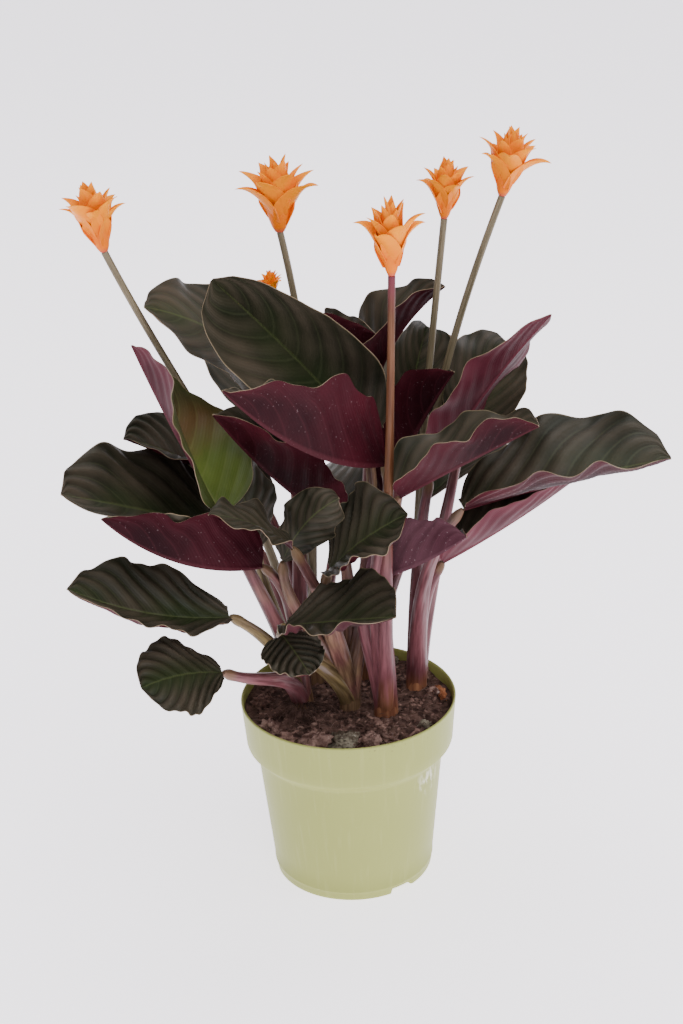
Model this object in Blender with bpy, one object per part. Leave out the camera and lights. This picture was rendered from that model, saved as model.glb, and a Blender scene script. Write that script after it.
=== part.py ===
"""Eternal flame calathea in a plain green nursery pot, modelled in metres with +Z up.

The origin is the middle of the pot's foot, on the surface that the pot stands on.
+X is to the right and -Y is towards whoever looks at the front of the plant.
"""
from math import cos, log, pi, radians, sin, sqrt

import bmesh
import bpy
from mathutils import Matrix, Vector

# Pot
POT_RIM_RADIUS = 0.070
POT_HEIGHT = 0.125
POT_COLLAR_RADIUS = 0.0675
POT_COLLAR_FOOT_HEIGHT = 0.095
POT_SHOULDER_RADIUS = 0.0608
POT_SHOULDER_HEIGHT = 0.088
POT_BASE_RADIUS = 0.0521
POT_WALL = 0.0016
POT_FLOOR = 0.002
POT_SIDES = 48
NOTCH_COUNT = 3
NOTCH_WIDTH = 0.016
NOTCH_HEIGHT = 0.005
NOTCH_DEPTH = 0.006
NOTCH_FIRST_ANGLE = radians(-54)

# Soil
SOIL_TOP = 0.118
SOIL_CROWN = 0.0015
SOIL_RINGS = 3
SOIL_SIDES = 24
GAP = 0.0003

# Shoots, which stand in plain holes in the soil
SHOOT_FOOT_HEIGHT = 0.100
SHOOT_HOLE_MARGIN = 0.0004
TUBE_SIDES = 6
TUBE_STEPS = 6
PETIOLE_TIP_RADIUS = 0.0024
PETIOLE_FOOT_RADIUS = 0.0050
STALK_TIP_RADIUS = 0.0021
STALK_FOOT_RADIUS = 0.0033

# Leaf blades
BLADE_THICKNESS = 0.0009
BLADE_EDGE_THICKNESS = 0.0007
BLADE_START_GAP = 0.0018
BLADE_STEPS = 8
BLADE_COLUMNS = (-1.0, -0.55, 0.0, 0.55, 1.0)
BLADE_NARROWEST = 0.05
MIDRIB_STEPS = 48
FOLD_SAMPLES = 8

# Flower heads
HEAD_GAP = 0.0005
BRACT_THICKNESS = 0.0011
BRACT_CUP = 0.25
BRACT_STATIONS = ((0.0, 0.42), (0.42, 1.0), (0.75, 0.6), (1.0, 0.0))


def clear_scene():
    """Remove every object that the file starts with."""
    for thing in list(bpy.data.objects):
        bpy.data.objects.remove(thing, do_unlink=True)


def make_material(name, colour, roughness):
    """A plain finish of one colour."""
    material = bpy.data.materials.new(name)
    material.use_nodes = True
    shader = material.node_tree.nodes["Principled BSDF"]
    shader.inputs["Base Color"].default_value = (*colour, 1.0)
    shader.inputs["Roughness"].default_value = roughness
    shader.inputs["Metallic"].default_value = 0.0
    return material


def make_object(name, mesh_builder, material, smooth=True):
    """Turn a bmesh into a named object with one material."""
    mesh = bpy.data.meshes.new(name)
    mesh_builder.to_mesh(mesh)
    mesh_builder.free()
    thing = bpy.data.objects.new(name, mesh)
    bpy.context.scene.collection.objects.link(thing)
    thing.data.materials.append(material)
    if smooth:
        mesh.shade_smooth()
        mesh.set_sharp_from_angle(angle=radians(40))
    return thing


def apply_modifiers(thing):
    """Keep the object's evaluated mesh and drop its modifiers."""
    depsgraph = bpy.context.evaluated_depsgraph_get()
    mesh = bpy.data.meshes.new_from_object(thing.evaluated_get(depsgraph))
    thing.modifiers.clear()
    thing.data = mesh


def cut(thing, cutter, solver="EXACT"):
    """Subtract the cutter from the object, then remove the cutter."""
    boolean = thing.modifiers.new("cut", "BOOLEAN")
    boolean.operation = "DIFFERENCE"
    boolean.object = cutter
    boolean.solver = solver
    apply_modifiers(thing)
    bpy.data.objects.remove(cutter, do_unlink=True)


def keep_outer_shell(mesh):
    """Fill hollows that fusing has sealed and drop loose scraps: only the largest shell stays."""
    builder = bmesh.new()
    builder.from_mesh(mesh)
    waiting = set(builder.faces)
    shells = []
    while waiting:
        edge_of_search = [waiting.pop()]
        shell = set(edge_of_search)
        while edge_of_search:
            face = edge_of_search.pop()
            for edge in face.edges:
                for neighbour in edge.link_faces:
                    if neighbour in waiting:
                        waiting.remove(neighbour)
                        shell.add(neighbour)
                        edge_of_search.append(neighbour)
        shells.append(shell)
    largest = max(shells, key=len)
    extra = [face for shell in shells if shell is not largest for face in shell]
    bmesh.ops.delete(builder, geom=extra, context="FACES")
    builder.to_mesh(mesh)
    builder.free()


def union_of(name, pieces, material):
    """Fuse overlapping closed pieces into one named solid."""
    group = bpy.data.collections.new(name + "_pieces")
    bpy.context.scene.collection.children.link(group)
    for piece in pieces[1:]:
        bpy.context.scene.collection.objects.unlink(piece)
        group.objects.link(piece)
    whole = pieces[0]
    whole.name = name
    boolean = whole.modifiers.new("join", "BOOLEAN")
    boolean.operation = "UNION"
    boolean.operand_type = "COLLECTION"
    boolean.collection = group
    boolean.solver = "MANIFOLD"
    apply_modifiers(whole)
    for piece in pieces[1:]:
        bpy.data.objects.remove(piece, do_unlink=True)
    bpy.data.collections.remove(group)
    keep_outer_shell(whole.data)
    whole.data.materials.clear()
    whole.data.materials.append(material)
    whole.data.shade_smooth()
    whole.data.set_sharp_from_angle(angle=radians(50))
    return whole


def turned_solid(profile, sides):
    """A solid of revolution from (radius, height) points that start and end on the axis."""
    builder = bmesh.new()
    rings = []
    for radius, height in profile:
        if radius == 0.0:
            rings.append([builder.verts.new((0.0, 0.0, height))])
            continue
        ring = []
        for step in range(sides):
            angle = 2 * pi * step / sides
            ring.append(builder.verts.new((radius * cos(angle), radius * sin(angle), height)))
        rings.append(ring)
    for lower, upper in zip(rings, rings[1:]):
        for step in range(sides):
            after = (step + 1) % sides
            if len(lower) == 1:
                builder.faces.new((lower[0], upper[after], upper[step]))
            elif len(upper) == 1:
                builder.faces.new((lower[step], lower[after], upper[0]))
            else:
                builder.faces.new((lower[step], lower[after], upper[after], upper[step]))
    bmesh.ops.recalc_face_normals(builder, faces=builder.faces)
    return builder


def make_notch_cutter():
    """Drain notches round the foot, as one mesh of small boxes."""
    builder = bmesh.new()
    for index in range(NOTCH_COUNT):
        angle = NOTCH_FIRST_ANGLE + 2 * pi * index / NOTCH_COUNT
        place = Matrix.Rotation(angle, 4, "Z") @ Matrix.Translation((POT_BASE_RADIUS, 0.0, 0.0))
        size = Matrix.Diagonal((2 * NOTCH_DEPTH, NOTCH_WIDTH, 2 * NOTCH_HEIGHT, 1.0))
        bmesh.ops.create_cube(builder, size=1.0, matrix=place @ size)
    mesh = bpy.data.meshes.new("notch_cutter")
    builder.to_mesh(mesh)
    builder.free()
    cutter = bpy.data.objects.new("notch_cutter", mesh)
    bpy.context.scene.collection.objects.link(cutter)
    return cutter


def pot_inner_radius(height):
    """Radius of the pot's inside at a height."""
    if height >= POT_COLLAR_FOOT_HEIGHT:
        share = (height - POT_COLLAR_FOOT_HEIGHT) / (POT_HEIGHT - POT_COLLAR_FOOT_HEIGHT)
        return POT_COLLAR_RADIUS + share * (POT_RIM_RADIUS - POT_COLLAR_RADIUS) - POT_WALL
    if height >= POT_SHOULDER_HEIGHT:
        share = (height - POT_SHOULDER_HEIGHT) / (POT_COLLAR_FOOT_HEIGHT - POT_SHOULDER_HEIGHT)
        return POT_SHOULDER_RADIUS + share * (POT_COLLAR_RADIUS - POT_SHOULDER_RADIUS) - POT_WALL
    share = height / POT_SHOULDER_HEIGHT
    return POT_BASE_RADIUS + share * (POT_SHOULDER_RADIUS - POT_BASE_RADIUS) - POT_WALL


def make_pot(material):
    """Thin-walled pot with a deep collar, a small recess under the floor's edge and drain notches."""
    lip = 0.0006
    profile = [
        (0.0, 0.0),
        (POT_BASE_RADIUS - lip, 0.0),
        (POT_BASE_RADIUS, lip),
        (POT_SHOULDER_RADIUS, POT_SHOULDER_HEIGHT),
        (POT_COLLAR_RADIUS - lip, POT_COLLAR_FOOT_HEIGHT - 2 * lip),
        (POT_COLLAR_RADIUS, POT_COLLAR_FOOT_HEIGHT),
        (POT_RIM_RADIUS, POT_HEIGHT - lip),
        (POT_RIM_RADIUS - lip, POT_HEIGHT),
        (POT_RIM_RADIUS - POT_WALL, POT_HEIGHT - lip),
        (pot_inner_radius(POT_COLLAR_FOOT_HEIGHT), POT_COLLAR_FOOT_HEIGHT),
        (pot_inner_radius(POT_SHOULDER_HEIGHT), POT_SHOULDER_HEIGHT),
        (pot_inner_radius(NOTCH_HEIGHT + POT_FLOOR), NOTCH_HEIGHT + POT_FLOOR),
        (0.0, NOTCH_HEIGHT + POT_FLOOR),
    ]
    pot = make_object("pot", turned_solid(profile, POT_SIDES), material)
    cut(pot, make_notch_cutter())
    pot.data.materials.clear()
    pot.data.materials.append(material)
    pot.data.shade_smooth()
    pot.data.set_sharp_from_angle(angle=radians(40))
    return pot


def soil_height(x, y):
    """Gently uneven top of the soil."""
    bumps = sin(140 * x + 0.6) * cos(115 * y) + 0.6 * sin(210 * y + 90 * x)
    return SOIL_TOP + SOIL_CROWN * bumps


def make_soil(material):
    """Soil that fills the pot to just under its rim, with an uneven top."""
    builder = bmesh.new()
    floor = NOTCH_HEIGHT + POT_FLOOR + GAP
    wall_heights = (floor, POT_SHOULDER_HEIGHT, POT_COLLAR_FOOT_HEIGHT, SOIL_TOP)
    rings = []
    for height in wall_heights:
        radius = pot_inner_radius(height) - GAP
        rings.append([(radius, height) for _ in range(SOIL_SIDES)])
    rows = []
    for index, ring in enumerate(rings):
        row = []
        for step in range(SOIL_SIDES):
            angle = 2 * pi * step / SOIL_SIDES
            radius, height = ring[step]
            x = radius * cos(angle)
            y = radius * sin(angle)
            z = height if index < len(rings) - 1 else soil_height(x, y)
            row.append(builder.verts.new((x, y, z)))
        rows.append(row)
    rim_radius = pot_inner_radius(SOIL_TOP) - GAP
    for inner in range(1, SOIL_RINGS):
        radius = rim_radius * (1 - inner / SOIL_RINGS)
        row = []
        for step in range(SOIL_SIDES):
            angle = 2 * pi * step / SOIL_SIDES
            x = radius * cos(angle)
            y = radius * sin(angle)
            row.append(builder.verts.new((x, y, soil_height(x, y))))
        rows.append(row)
    for lower, upper in zip(rows, rows[1:]):
        for step in range(SOIL_SIDES):
            after = (step + 1) % SOIL_SIDES
            builder.faces.new((lower[step], lower[after], upper[after]))
            builder.faces.new((lower[step], upper[after], upper[step]))
    centre = builder.verts.new((0.0, 0.0, soil_height(0.0, 0.0)))
    last = rows[-1]
    for step in range(SOIL_SIDES):
        builder.faces.new((last[step], last[(step + 1) % SOIL_SIDES], centre))
    builder.faces.new(list(reversed(rows[0])))
    bmesh.ops.recalc_face_normals(builder, faces=builder.faces)
    return make_object("soil", builder, material)


def bend(start, start_pull, end, end_pull, share):
    """Point on a cubic curve that leaves start and reaches end along its two pulls."""
    a = (1 - share) ** 3
    b = 3 * share * (1 - share) ** 2
    c = 3 * share ** 2 * (1 - share)
    d = share ** 3
    return a * start + b * (start + start_pull) + c * (end - end_pull) + d * end


def make_tube(name, points, radii, material):
    """Closed tube with flat ends along a list of points."""
    builder = bmesh.new()
    side = Vector((1.0, 0.0, 0.0))
    rings = []
    last = len(points) - 1
    for index, point in enumerate(points):
        along = (points[min(index + 1, last)] - points[max(index - 1, 0)]).normalized()
        side = (side - along * side.dot(along)).normalized()
        across = along.cross(side)
        ring = []
        for step in range(TUBE_SIDES):
            angle = 2 * pi * step / TUBE_SIDES
            offset = radii[index] * (cos(angle) * side + sin(angle) * across)
            ring.append(builder.verts.new(point + offset))
        rings.append(ring)
    for lower, upper in zip(rings, rings[1:]):
        for step in range(TUBE_SIDES):
            after = (step + 1) % TUBE_SIDES
            builder.faces.new((lower[step], lower[after], upper[after], upper[step]))
    builder.faces.new(list(reversed(rings[0])))
    builder.faces.new(rings[-1])
    bmesh.ops.recalc_face_normals(builder, faces=builder.faces)
    return make_object(name, builder, material)


def leaf(shoot, base, heading, pitch, length, width, droop=0, sway=0, roll=0, twist=0,
         fold=(15, 15), curl=(10, 10), fullness=0.6, swell=0.44, wave=0.003, waves=2.5, phase=0.0):
    """One leaf's values: degrees for angles, metres for lengths, left half first in pairs.

    Swell is the share of the length at which the blade is widest.
    """
    return dict(shoot=shoot, base=Vector(base), heading=heading, pitch=pitch, length=length,
                width=width, droop=droop, sway=sway, roll=roll, twist=twist, fold=fold,
                curl=curl, fullness=fullness, swell=swell, wave=wave, waves=waves,
                phase=phase)


# Where each shoot stands on the soil, and the radius of its foot
SHOOTS = {
    "left": ((-0.030, -0.002), 0.0075),
    "middle": ((0.001, -0.004), 0.0070),
    "front_right": ((0.024, -0.014), 0.0078),
    "right": ((0.045, 0.018), 0.0065),
    "back_left": ((-0.022, 0.030), 0.0068),
    "back_right": ((0.014, 0.036), 0.0068),
}

LEAVES = {
    "leaf_crown_front": leaf(
        "middle", (0.016, -0.011, 0.308), -168, 57, 0.135, 0.097, droop=15, sway=-24, roll=-67,
        twist=-18, fold=(40, 37), curl=(25, 23), fullness=0.42, swell=0.51, wave=0.004, waves=3,
        phase=0.6),
    "leaf_upper_left": leaf(
        "left", (-0.035, 0.060, 0.312), -133, 56, 0.137, 0.089, droop=35, sway=-6, roll=-42,
        twist=5, fold=(-18, 5), curl=(33, 2), fullness=0.58, swell=0.33),
    "leaf_flame_young": leaf(
        "left", (-0.070, -0.069, 0.286), 134, 46, 0.116, 0.082, droop=-3, sway=-7, roll=37,
        twist=55, fold=(10, 47), curl=(-16, 26), fullness=0.66, swell=0.38, wave=0.002, waves=2),
    "leaf_left_small": leaf(
        "left", (-0.078, 0.041, 0.260), -161, 47, 0.074, 0.072, droop=25, sway=7, roll=-11,
        twist=-1, fold=(16, 22), curl=(9, -6), fullness=0.63, swell=0.47, wave=0.002),
    "leaf_left_big": leaf(
        "left", (-0.061, 0.017, 0.235), -155, 25, 0.138, 0.104, droop=-1, sway=16, roll=-17,
        fold=(6, 18), curl=(8, 4), fullness=0.59, swell=0.47, wave=0.004, waves=3),
    "leaf_left_under": leaf(
        "left", (-0.048, -0.068, 0.251), -146, 7, 0.112, 0.067, droop=-43, sway=-19, roll=2,
        twist=6, fold=(70, 79), curl=(22, 37), fullness=0.64, swell=0.31, waves=3),
    "leaf_low_left": leaf(
        "left", (-0.069, -0.063, 0.216), -157, 8, 0.105, 0.069, droop=-27, sway=-7, roll=-11,
        twist=6, fold=(12, 28), curl=(11, 12), fullness=0.55, swell=0.53, wave=0.002, waves=3),
    "leaf_low_round": leaf(
        "left", (-0.073, -0.098, 0.197), -161, 17, 0.051, 0.060, droop=29, sway=7, roll=-13,
        twist=-14, fold=(-2, 0), curl=(5, -3), fullness=0.52, swell=0.55, wave=0.002, waves=2),
    "leaf_tiny_front": leaf(
        "middle", (-0.038, -0.083, 0.213), -59, -17, 0.033, 0.040, droop=17, sway=3, roll=-1,
        twist=-4, fold=(0, -15), curl=(4, 7), fullness=0.53, swell=0.39, wave=0.001, waves=2),
    "leaf_low_centre": leaf(
        "middle", (-0.036, -0.085, 0.220), -32, 17, 0.081, 0.074, droop=-1, sway=-3, roll=-10,
        twist=4, fold=(33, -3), curl=(11, 19), fullness=0.57, swell=0.52),
    "leaf_centre_dark": leaf(
        "middle", (-0.009, -0.073, 0.249), -16, 50, 0.061, 0.074, droop=24, sway=16, roll=-10,
        twist=16, fold=(24, -10), curl=(32, 21), fullness=0.59, swell=0.48, waves=2),
    "leaf_centre_purple": leaf(
        "front_right", (0.013, -0.034, 0.222), -40, 24, 0.086, 0.059, droop=-17, sway=12,
        roll=-5, twist=3, fold=(13, 108), curl=(20, 11), fullness=0.56, swell=0.41, wave=0.002),
    "leaf_right_channel": leaf(
        "right", (0.062, -0.014, 0.224), -5, 30, 0.103, 0.065, droop=-2, sway=21, roll=-16,
        fold=(32, 18), curl=(14, 22), fullness=0.67, swell=0.39, wave=0.002),
    "leaf_right_big": leaf(
        "right", (0.073, -0.036, 0.269), 12, 10, 0.129, 0.120, droop=-5, sway=-24, roll=1,
        twist=18, fold=(16, 31), curl=(-15, 17), fullness=0.54, swell=0.51, wave=0.004, waves=3),
    "leaf_right_mid": leaf(
        "front_right", (0.034, -0.063, 0.290), 4, 27, 0.095, 0.062, droop=-6, sway=-30, roll=3,
        twist=-13, fold=(44, 45), curl=(1, -3), fullness=0.35, swell=0.31),
    "leaf_right_tall": leaf(
        "right", (0.056, 0.004, 0.273), -14, 63, 0.133, 0.079, droop=14, sway=-2, roll=-31,
        twist=-2, fold=(18, -2), curl=(10, -1), fullness=0.58, swell=0.46, waves=3),
    "leaf_back_right": leaf(
        "right", (0.076, 0.035, 0.279), 66, 48, 0.086, 0.085, droop=25, sway=-15, roll=38,
        twist=-1, fold=(38, 52), curl=(8, 18), fullness=0.64, swell=0.45),
    "leaf_back_centre": leaf(
        "back_right", (0.043, 0.061, 0.275), 69, 71, 0.083, 0.071, droop=42, sway=2, roll=17,
        twist=2, fold=(53, 28), curl=(15, 15), fullness=0.63, swell=0.46),
    "leaf_top_right": leaf(
        "back_right", (0.022, 0.063, 0.303), -7, 79, 0.093, 0.078, droop=42, sway=1, roll=14,
        twist=-14, fold=(33, 38), curl=(4, -6), fullness=0.61, swell=0.39),
    "leaf_top_small": leaf(
        "back_left", (-0.014, 0.066, 0.312), -27, 44, 0.059, 0.083, droop=1, sway=12, roll=-3,
        twist=-3, fold=(49, 66), curl=(14, 29), fullness=0.67, swell=0.45, wave=0.002),
    "leaf_mid_purple": leaf(
        "front_right", (0.028, -0.005, 0.264), -17, 69, 0.098, 0.068, droop=12, sway=-5,
        roll=-46, fold=(45, 47), curl=(33, 21), fullness=0.68, swell=0.46),
    "leaf_centre_wing": leaf(
        "middle", (0.026, -0.050, 0.306), -120, 15, 0.157, 0.091, droop=-36, sway=-26, roll=20,
        twist=-5, fold=(76, 60), curl=(-12, 9), fullness=0.8, swell=0.37, wave=0.004, waves=3),
    "leaf_centre_wing_low": leaf(
        "middle", (-0.005, -0.014, 0.254), -147, 41, 0.124, 0.071, droop=-14, sway=7, roll=-12,
        twist=-8, fold=(55, 59), curl=(-1, -3), fullness=0.67, swell=0.45),
    "leaf_left_back_dark": leaf(
        "left", (-0.054, -0.019, 0.239), 125, 76, 0.074, 0.061, droop=16, sway=1, roll=22,
        twist=-4, fold=(5, -6), curl=(8, 8), fullness=0.65, swell=0.41, wave=0.002),
    "leaf_centre_curl_left": leaf(
        "middle", (-0.029, -0.083, 0.269), -166, 49, 0.057, 0.046, droop=37, sway=1, roll=8,
        twist=-3, fold=(5, 16), curl=(-7, 3), fullness=0.62, swell=0.49),
    "leaf_centre_curl_right": leaf(
        "middle", (-0.036, -0.067, 0.253), -26, 68, 0.064, 0.034, droop=36, sway=-8, roll=78,
        twist=-2, fold=(0, -20), curl=(-1, -28), fullness=0.58, swell=0.54, waves=3),
    "leaf_rear_low_left": leaf(
        "back_left", (-0.050, 0.060, 0.232), 150, 25, 0.120, 0.075, droop=45, fold=(20, 20)),
    "leaf_rear_low_right": leaf(
        "back_right", (0.058, 0.072, 0.230), 40, 30, 0.120, 0.078, droop=45, fold=(20, 25)),
    "leaf_rear_mid_left": leaf(
        "back_left", (-0.030, 0.082, 0.262), 118, 50, 0.135, 0.085, droop=65, fold=(20, 20)),
    "leaf_rear_mid_right": leaf(
        "back_right", (0.028, 0.088, 0.258), 72, 50, 0.130, 0.085, droop=65, fold=(25, 15)),
    "leaf_rear_low": leaf(
        "back_left", (-0.004, 0.082, 0.210), 95, 20, 0.115, 0.070, droop=45, fold=(15, 20)),
}

# Flower heads: shoot, top of the stalk, leans towards x and y of the stalk's top, of its foot
# and of the head, and the head's size
FLOWERS = {
    "flower_head_left": (
        "left", (-0.1334, 0.0, 0.4265), (-0.42, 0.0), (0.0, 0.0), (-0.20, 0.05), 0.95),
    "flower_head_middle": (
        "back_left", (-0.0313, 0.050, 0.4210), (-0.20, 0.12), (0.0, 0.0), (-0.02, 0.08), 1.05),
    "flower_head_front": (
        "front_right", (0.0327, -0.065, 0.4250), (0.03, 0.02), (0.0, -0.40), (0.0, 0.02), 1.00),
    "flower_head_right": (
        "right", (0.0693, 0.050, 0.4253), (0.12, 0.08), (0.0, 0.0), (0.08, 0.05), 0.85),
    "flower_head_far_right": (
        "right", (0.1029, 0.030, 0.4434), (0.38, 0.0), (0.0, 0.0), (0.20, 0.05), 0.95),
    "flower_head_small": (
        "back_left", (-0.0396, 0.090, 0.3667), (-0.05, 0.12), (0.0, 0.0), (-0.05, 0.05), 0.42),
}


def half_width_share(share, fullness, swell):
    """Share of the blade's half width at a share of its length."""
    inside = min(max(share, 1e-6), 1 - 1e-6)
    power = log(0.5) / log(swell)
    return max(BLADE_NARROWEST, sin(pi * inside ** power)) ** fullness


def rib_point(values, share):
    """Point on the midrib, walked in short steps along the leaf's changing direction."""
    point = values["base"].copy()
    whole = share * MIDRIB_STEPS
    walked = 0.0
    while walked < whole - 1e-9:
        step = min(1.0, whole - walked)
        middle = (walked + 0.5 * step) / MIDRIB_STEPS
        heading = radians(values["heading"] + values["sway"] * middle)
        pitch = radians(values["pitch"] - values["droop"] * middle)
        along = Vector((cos(pitch) * cos(heading), cos(pitch) * sin(heading), sin(pitch)))
        point += along * (values["length"] * step / MIDRIB_STEPS)
        walked += step
    return point


def rib_frame(values, share):
    """The blade's forward, right and up directions at a share of its length."""
    heading = radians(values["heading"] + values["sway"] * share)
    pitch = radians(values["pitch"] - values["droop"] * share)
    roll = radians(values["roll"] + values["twist"] * share)
    level = Vector((cos(heading), sin(heading), 0.0))
    forward = cos(pitch) * level + Vector((0.0, 0.0, sin(pitch)))
    flat_right = Vector((sin(heading), -cos(heading), 0.0))
    flat_up = Vector((0.0, 0.0, cos(pitch))) - sin(pitch) * level
    right = cos(roll) * flat_right - sin(roll) * flat_up
    up = cos(roll) * flat_up + sin(roll) * flat_right
    return forward, right, up


def blade_point(values, share, side):
    """Point on the blade's upper face; side runs from -1, the left margin, to 1."""
    middle = rib_point(values, share)
    _, right, up = rib_frame(values, share)
    width = 0.5 * values["width"] * half_width_share(share, values["fullness"],
                                                     values["swell"])
    half = 0 if side < 0 else 1
    sign = -1.0 if side < 0 else 1.0
    reach = abs(side)
    out = 0.0
    lift = 0.0
    for sample in range(FOLD_SAMPLES):
        part = (sample + 0.5) / FOLD_SAMPLES
        angle = radians(values["fold"][half] + values["curl"][half] * reach * part)
        out += cos(angle) / FOLD_SAMPLES
        lift += sin(angle) / FOLD_SAMPLES
    swing = sin(2 * pi * values["waves"] * share + values["phase"] + 1.1 * sign)
    ripple = values["wave"] * reach ** 2 * swing * sqrt(sin(pi * min(max(share, 0.0), 1.0)))
    return middle + right * (out * reach * width * sign) + up * (lift * reach * width + ripple)


def blade_normal(values, share, side):
    """Direction that leaves the upper face."""
    step = 0.01
    before = blade_point(values, max(share - step, 0.0), side)
    after = blade_point(values, min(share + step, 1.0), side)
    left = blade_point(values, share, max(side - step, -1.0))
    right = blade_point(values, share, min(side + step, 1.0))
    return (right - left).cross(after - before).normalized()


def make_leaf(name, values, material):
    """One blade as a thin closed solid, with the same triangles on both faces."""
    builder = bmesh.new()
    start = BLADE_START_GAP / values["length"]
    upper = []
    lower = []
    for row in range(BLADE_STEPS + 1):
        share = start + (1.0 - start) * row / BLADE_STEPS
        upper_row = []
        lower_row = []
        for side in BLADE_COLUMNS:
            point = blade_point(values, share, side)
            thickness = BLADE_THICKNESS + (BLADE_EDGE_THICKNESS - BLADE_THICKNESS) * abs(side)
            normal = blade_normal(values, share, side)
            upper_row.append(builder.verts.new(point + normal * (0.5 * thickness)))
            lower_row.append(builder.verts.new(point - normal * (0.5 * thickness)))
        upper.append(upper_row)
        lower.append(lower_row)
    last_row = BLADE_STEPS
    last_column = len(BLADE_COLUMNS) - 1
    for row in range(last_row):
        for column in range(last_column):
            near = (row, column)
            far = (row + 1, column + 1)
            for corner in ((row + 1, column), (row, column + 1)):
                ring = (near, corner, far)
                builder.faces.new([upper[r][c] for r, c in ring])
                builder.faces.new([lower[r][c] for r, c in reversed(ring)])
    edge = [(0, column) for column in range(last_column)]
    edge += [(row, last_column) for row in range(last_row)]
    edge += [(last_row, column) for column in range(last_column, 0, -1)]
    edge += [(row, 0) for row in range(last_row, 0, -1)]
    for here, after in zip(edge, edge[1:] + edge[:1]):
        r, c = here
        s, d = after
        builder.faces.new((upper[r][c], upper[s][d], lower[s][d]))
        builder.faces.new((upper[r][c], lower[s][d], lower[r][c]))
    bmesh.ops.recalc_face_normals(builder, faces=builder.faces)
    return make_object(name, builder, material)


def foot_point(shoot):
    """Middle of a shoot's foot, at the top of the soil."""
    (x, y), _ = SHOOTS[shoot]
    return Vector((x, y, SOIL_TOP))


def petiole_points(values):
    """Route of a leaf's stalk, from inside the shoot's foot up to the blade."""
    foot = foot_point(values["shoot"])
    end = values["base"]
    forward, _, _ = rib_frame(values, 0.0)
    reach = (end - foot).length
    lean = (end - foot).normalized()
    start_pull = (Vector((0.0, 0.0, 1.0)) + 0.5 * lean).normalized() * (0.30 * reach)
    end_pull = (forward + lean + Vector((0.0, 0.0, 0.3))).normalized() * (0.30 * reach)
    shares = [step / TUBE_STEPS for step in range(TUBE_STEPS + 1)]
    return [bend(foot, start_pull, end, end_pull, share) for share in shares]


def stalk_points(shoot, top, lean, foot_lean):
    """Route of a flower stalk up to its head."""
    foot = foot_point(shoot)
    end = Vector(top)
    reach = (end - foot).length
    start_pull = Vector((foot_lean[0], foot_lean[1], 1.0)).normalized() * (0.40 * reach)
    end_pull = Vector((lean[0], lean[1], 1.0)).normalized() * (0.40 * reach)
    shares = [step / TUBE_STEPS for step in range(TUBE_STEPS + 1)]
    return [bend(foot, start_pull, end, end_pull, share) for share in shares]


def taper(foot_radius, tip_radius):
    """Radii along a tube that thins towards its tip."""
    return [foot_radius + (tip_radius - foot_radius) * step / TUBE_STEPS
            for step in range(TUBE_STEPS + 1)]


def make_shoot(shoot, material):
    """One shoot: its foot in the soil, its leaf stalks and its flower stalks, fused."""
    (x, y), radius = SHOOTS[shoot]
    heights = (SHOOT_FOOT_HEIGHT, SOIL_TOP, SOIL_TOP + 0.006, SOIL_TOP + 0.022)
    points = [Vector((x, y, height)) for height in heights]
    pieces = [make_tube("foot", points, (radius, radius, 0.96 * radius, 0.6 * radius), material)]
    for name, values in LEAVES.items():
        if values["shoot"] == shoot:
            radii = taper(PETIOLE_FOOT_RADIUS, PETIOLE_TIP_RADIUS)
            pieces.append(make_tube(name + "_stalk", petiole_points(values), radii, material))
    for owner, top, lean, foot_lean, _, _ in FLOWERS.values():
        if owner == shoot:
            radii = taper(STALK_FOOT_RADIUS, STALK_TIP_RADIUS)
            pieces.append(make_tube("flower_stalk", stalk_points(shoot, top, lean, foot_lean), radii, material))
    return union_of("shoot_" + shoot, pieces, material)


def cut_soil_holes(soil):
    """A plain hole for each shoot's foot."""
    for (x, y), radius in SHOOTS.values():
        builder = bmesh.new()
        depth = 0.030
        place = Matrix.Translation((x, y, SHOOT_FOOT_HEIGHT - GAP + 0.5 * depth))
        hole = radius + SHOOT_HOLE_MARGIN
        bmesh.ops.create_cone(builder, cap_ends=True, segments=16, radius1=hole / cos(pi / 16),
                              radius2=hole / cos(pi / 16), depth=depth, matrix=place)
        mesh = bpy.data.meshes.new("hole_cutter")
        builder.to_mesh(mesh)
        builder.free()
        cutter = bpy.data.objects.new("hole_cutter", mesh)
        bpy.context.scene.collection.objects.link(cutter)
        cut(soil, cutter)


# Tiers of bracts from the lowest up: count, height of the root, length, width, start and
# end elevation in degrees, and turn of the first bract in degrees
BRACT_TIERS = (
    (4, 0.007, 0.032, 0.014, 68, 5, 20),
    (4, 0.016, 0.028, 0.014, 62, -10, 65),
    (4, 0.025, 0.024, 0.012, 64, 5, 20),
    (2, 0.033, 0.017, 0.009, 76, 40, 60),
)
CORE_PROFILE = ((0.0, 0.0), (0.0015, 0.0), (0.0052, 0.006), (0.0078, 0.015), (0.0078, 0.027),
                (0.0050, 0.036), (0.0, 0.040))
CORE_SIDES = 10
BRACT_ROOT_DEPTH = 0.0012


def core_radius(height):
    """Radius of a head's core at a height."""
    radius = 0.0
    for (low_radius, low), (high_radius, high) in zip(CORE_PROFILE, CORE_PROFILE[1:]):
        if low < height <= high:
            radius = low_radius + (high_radius - low_radius) * (height - low) / (high - low)
    return radius


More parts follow.
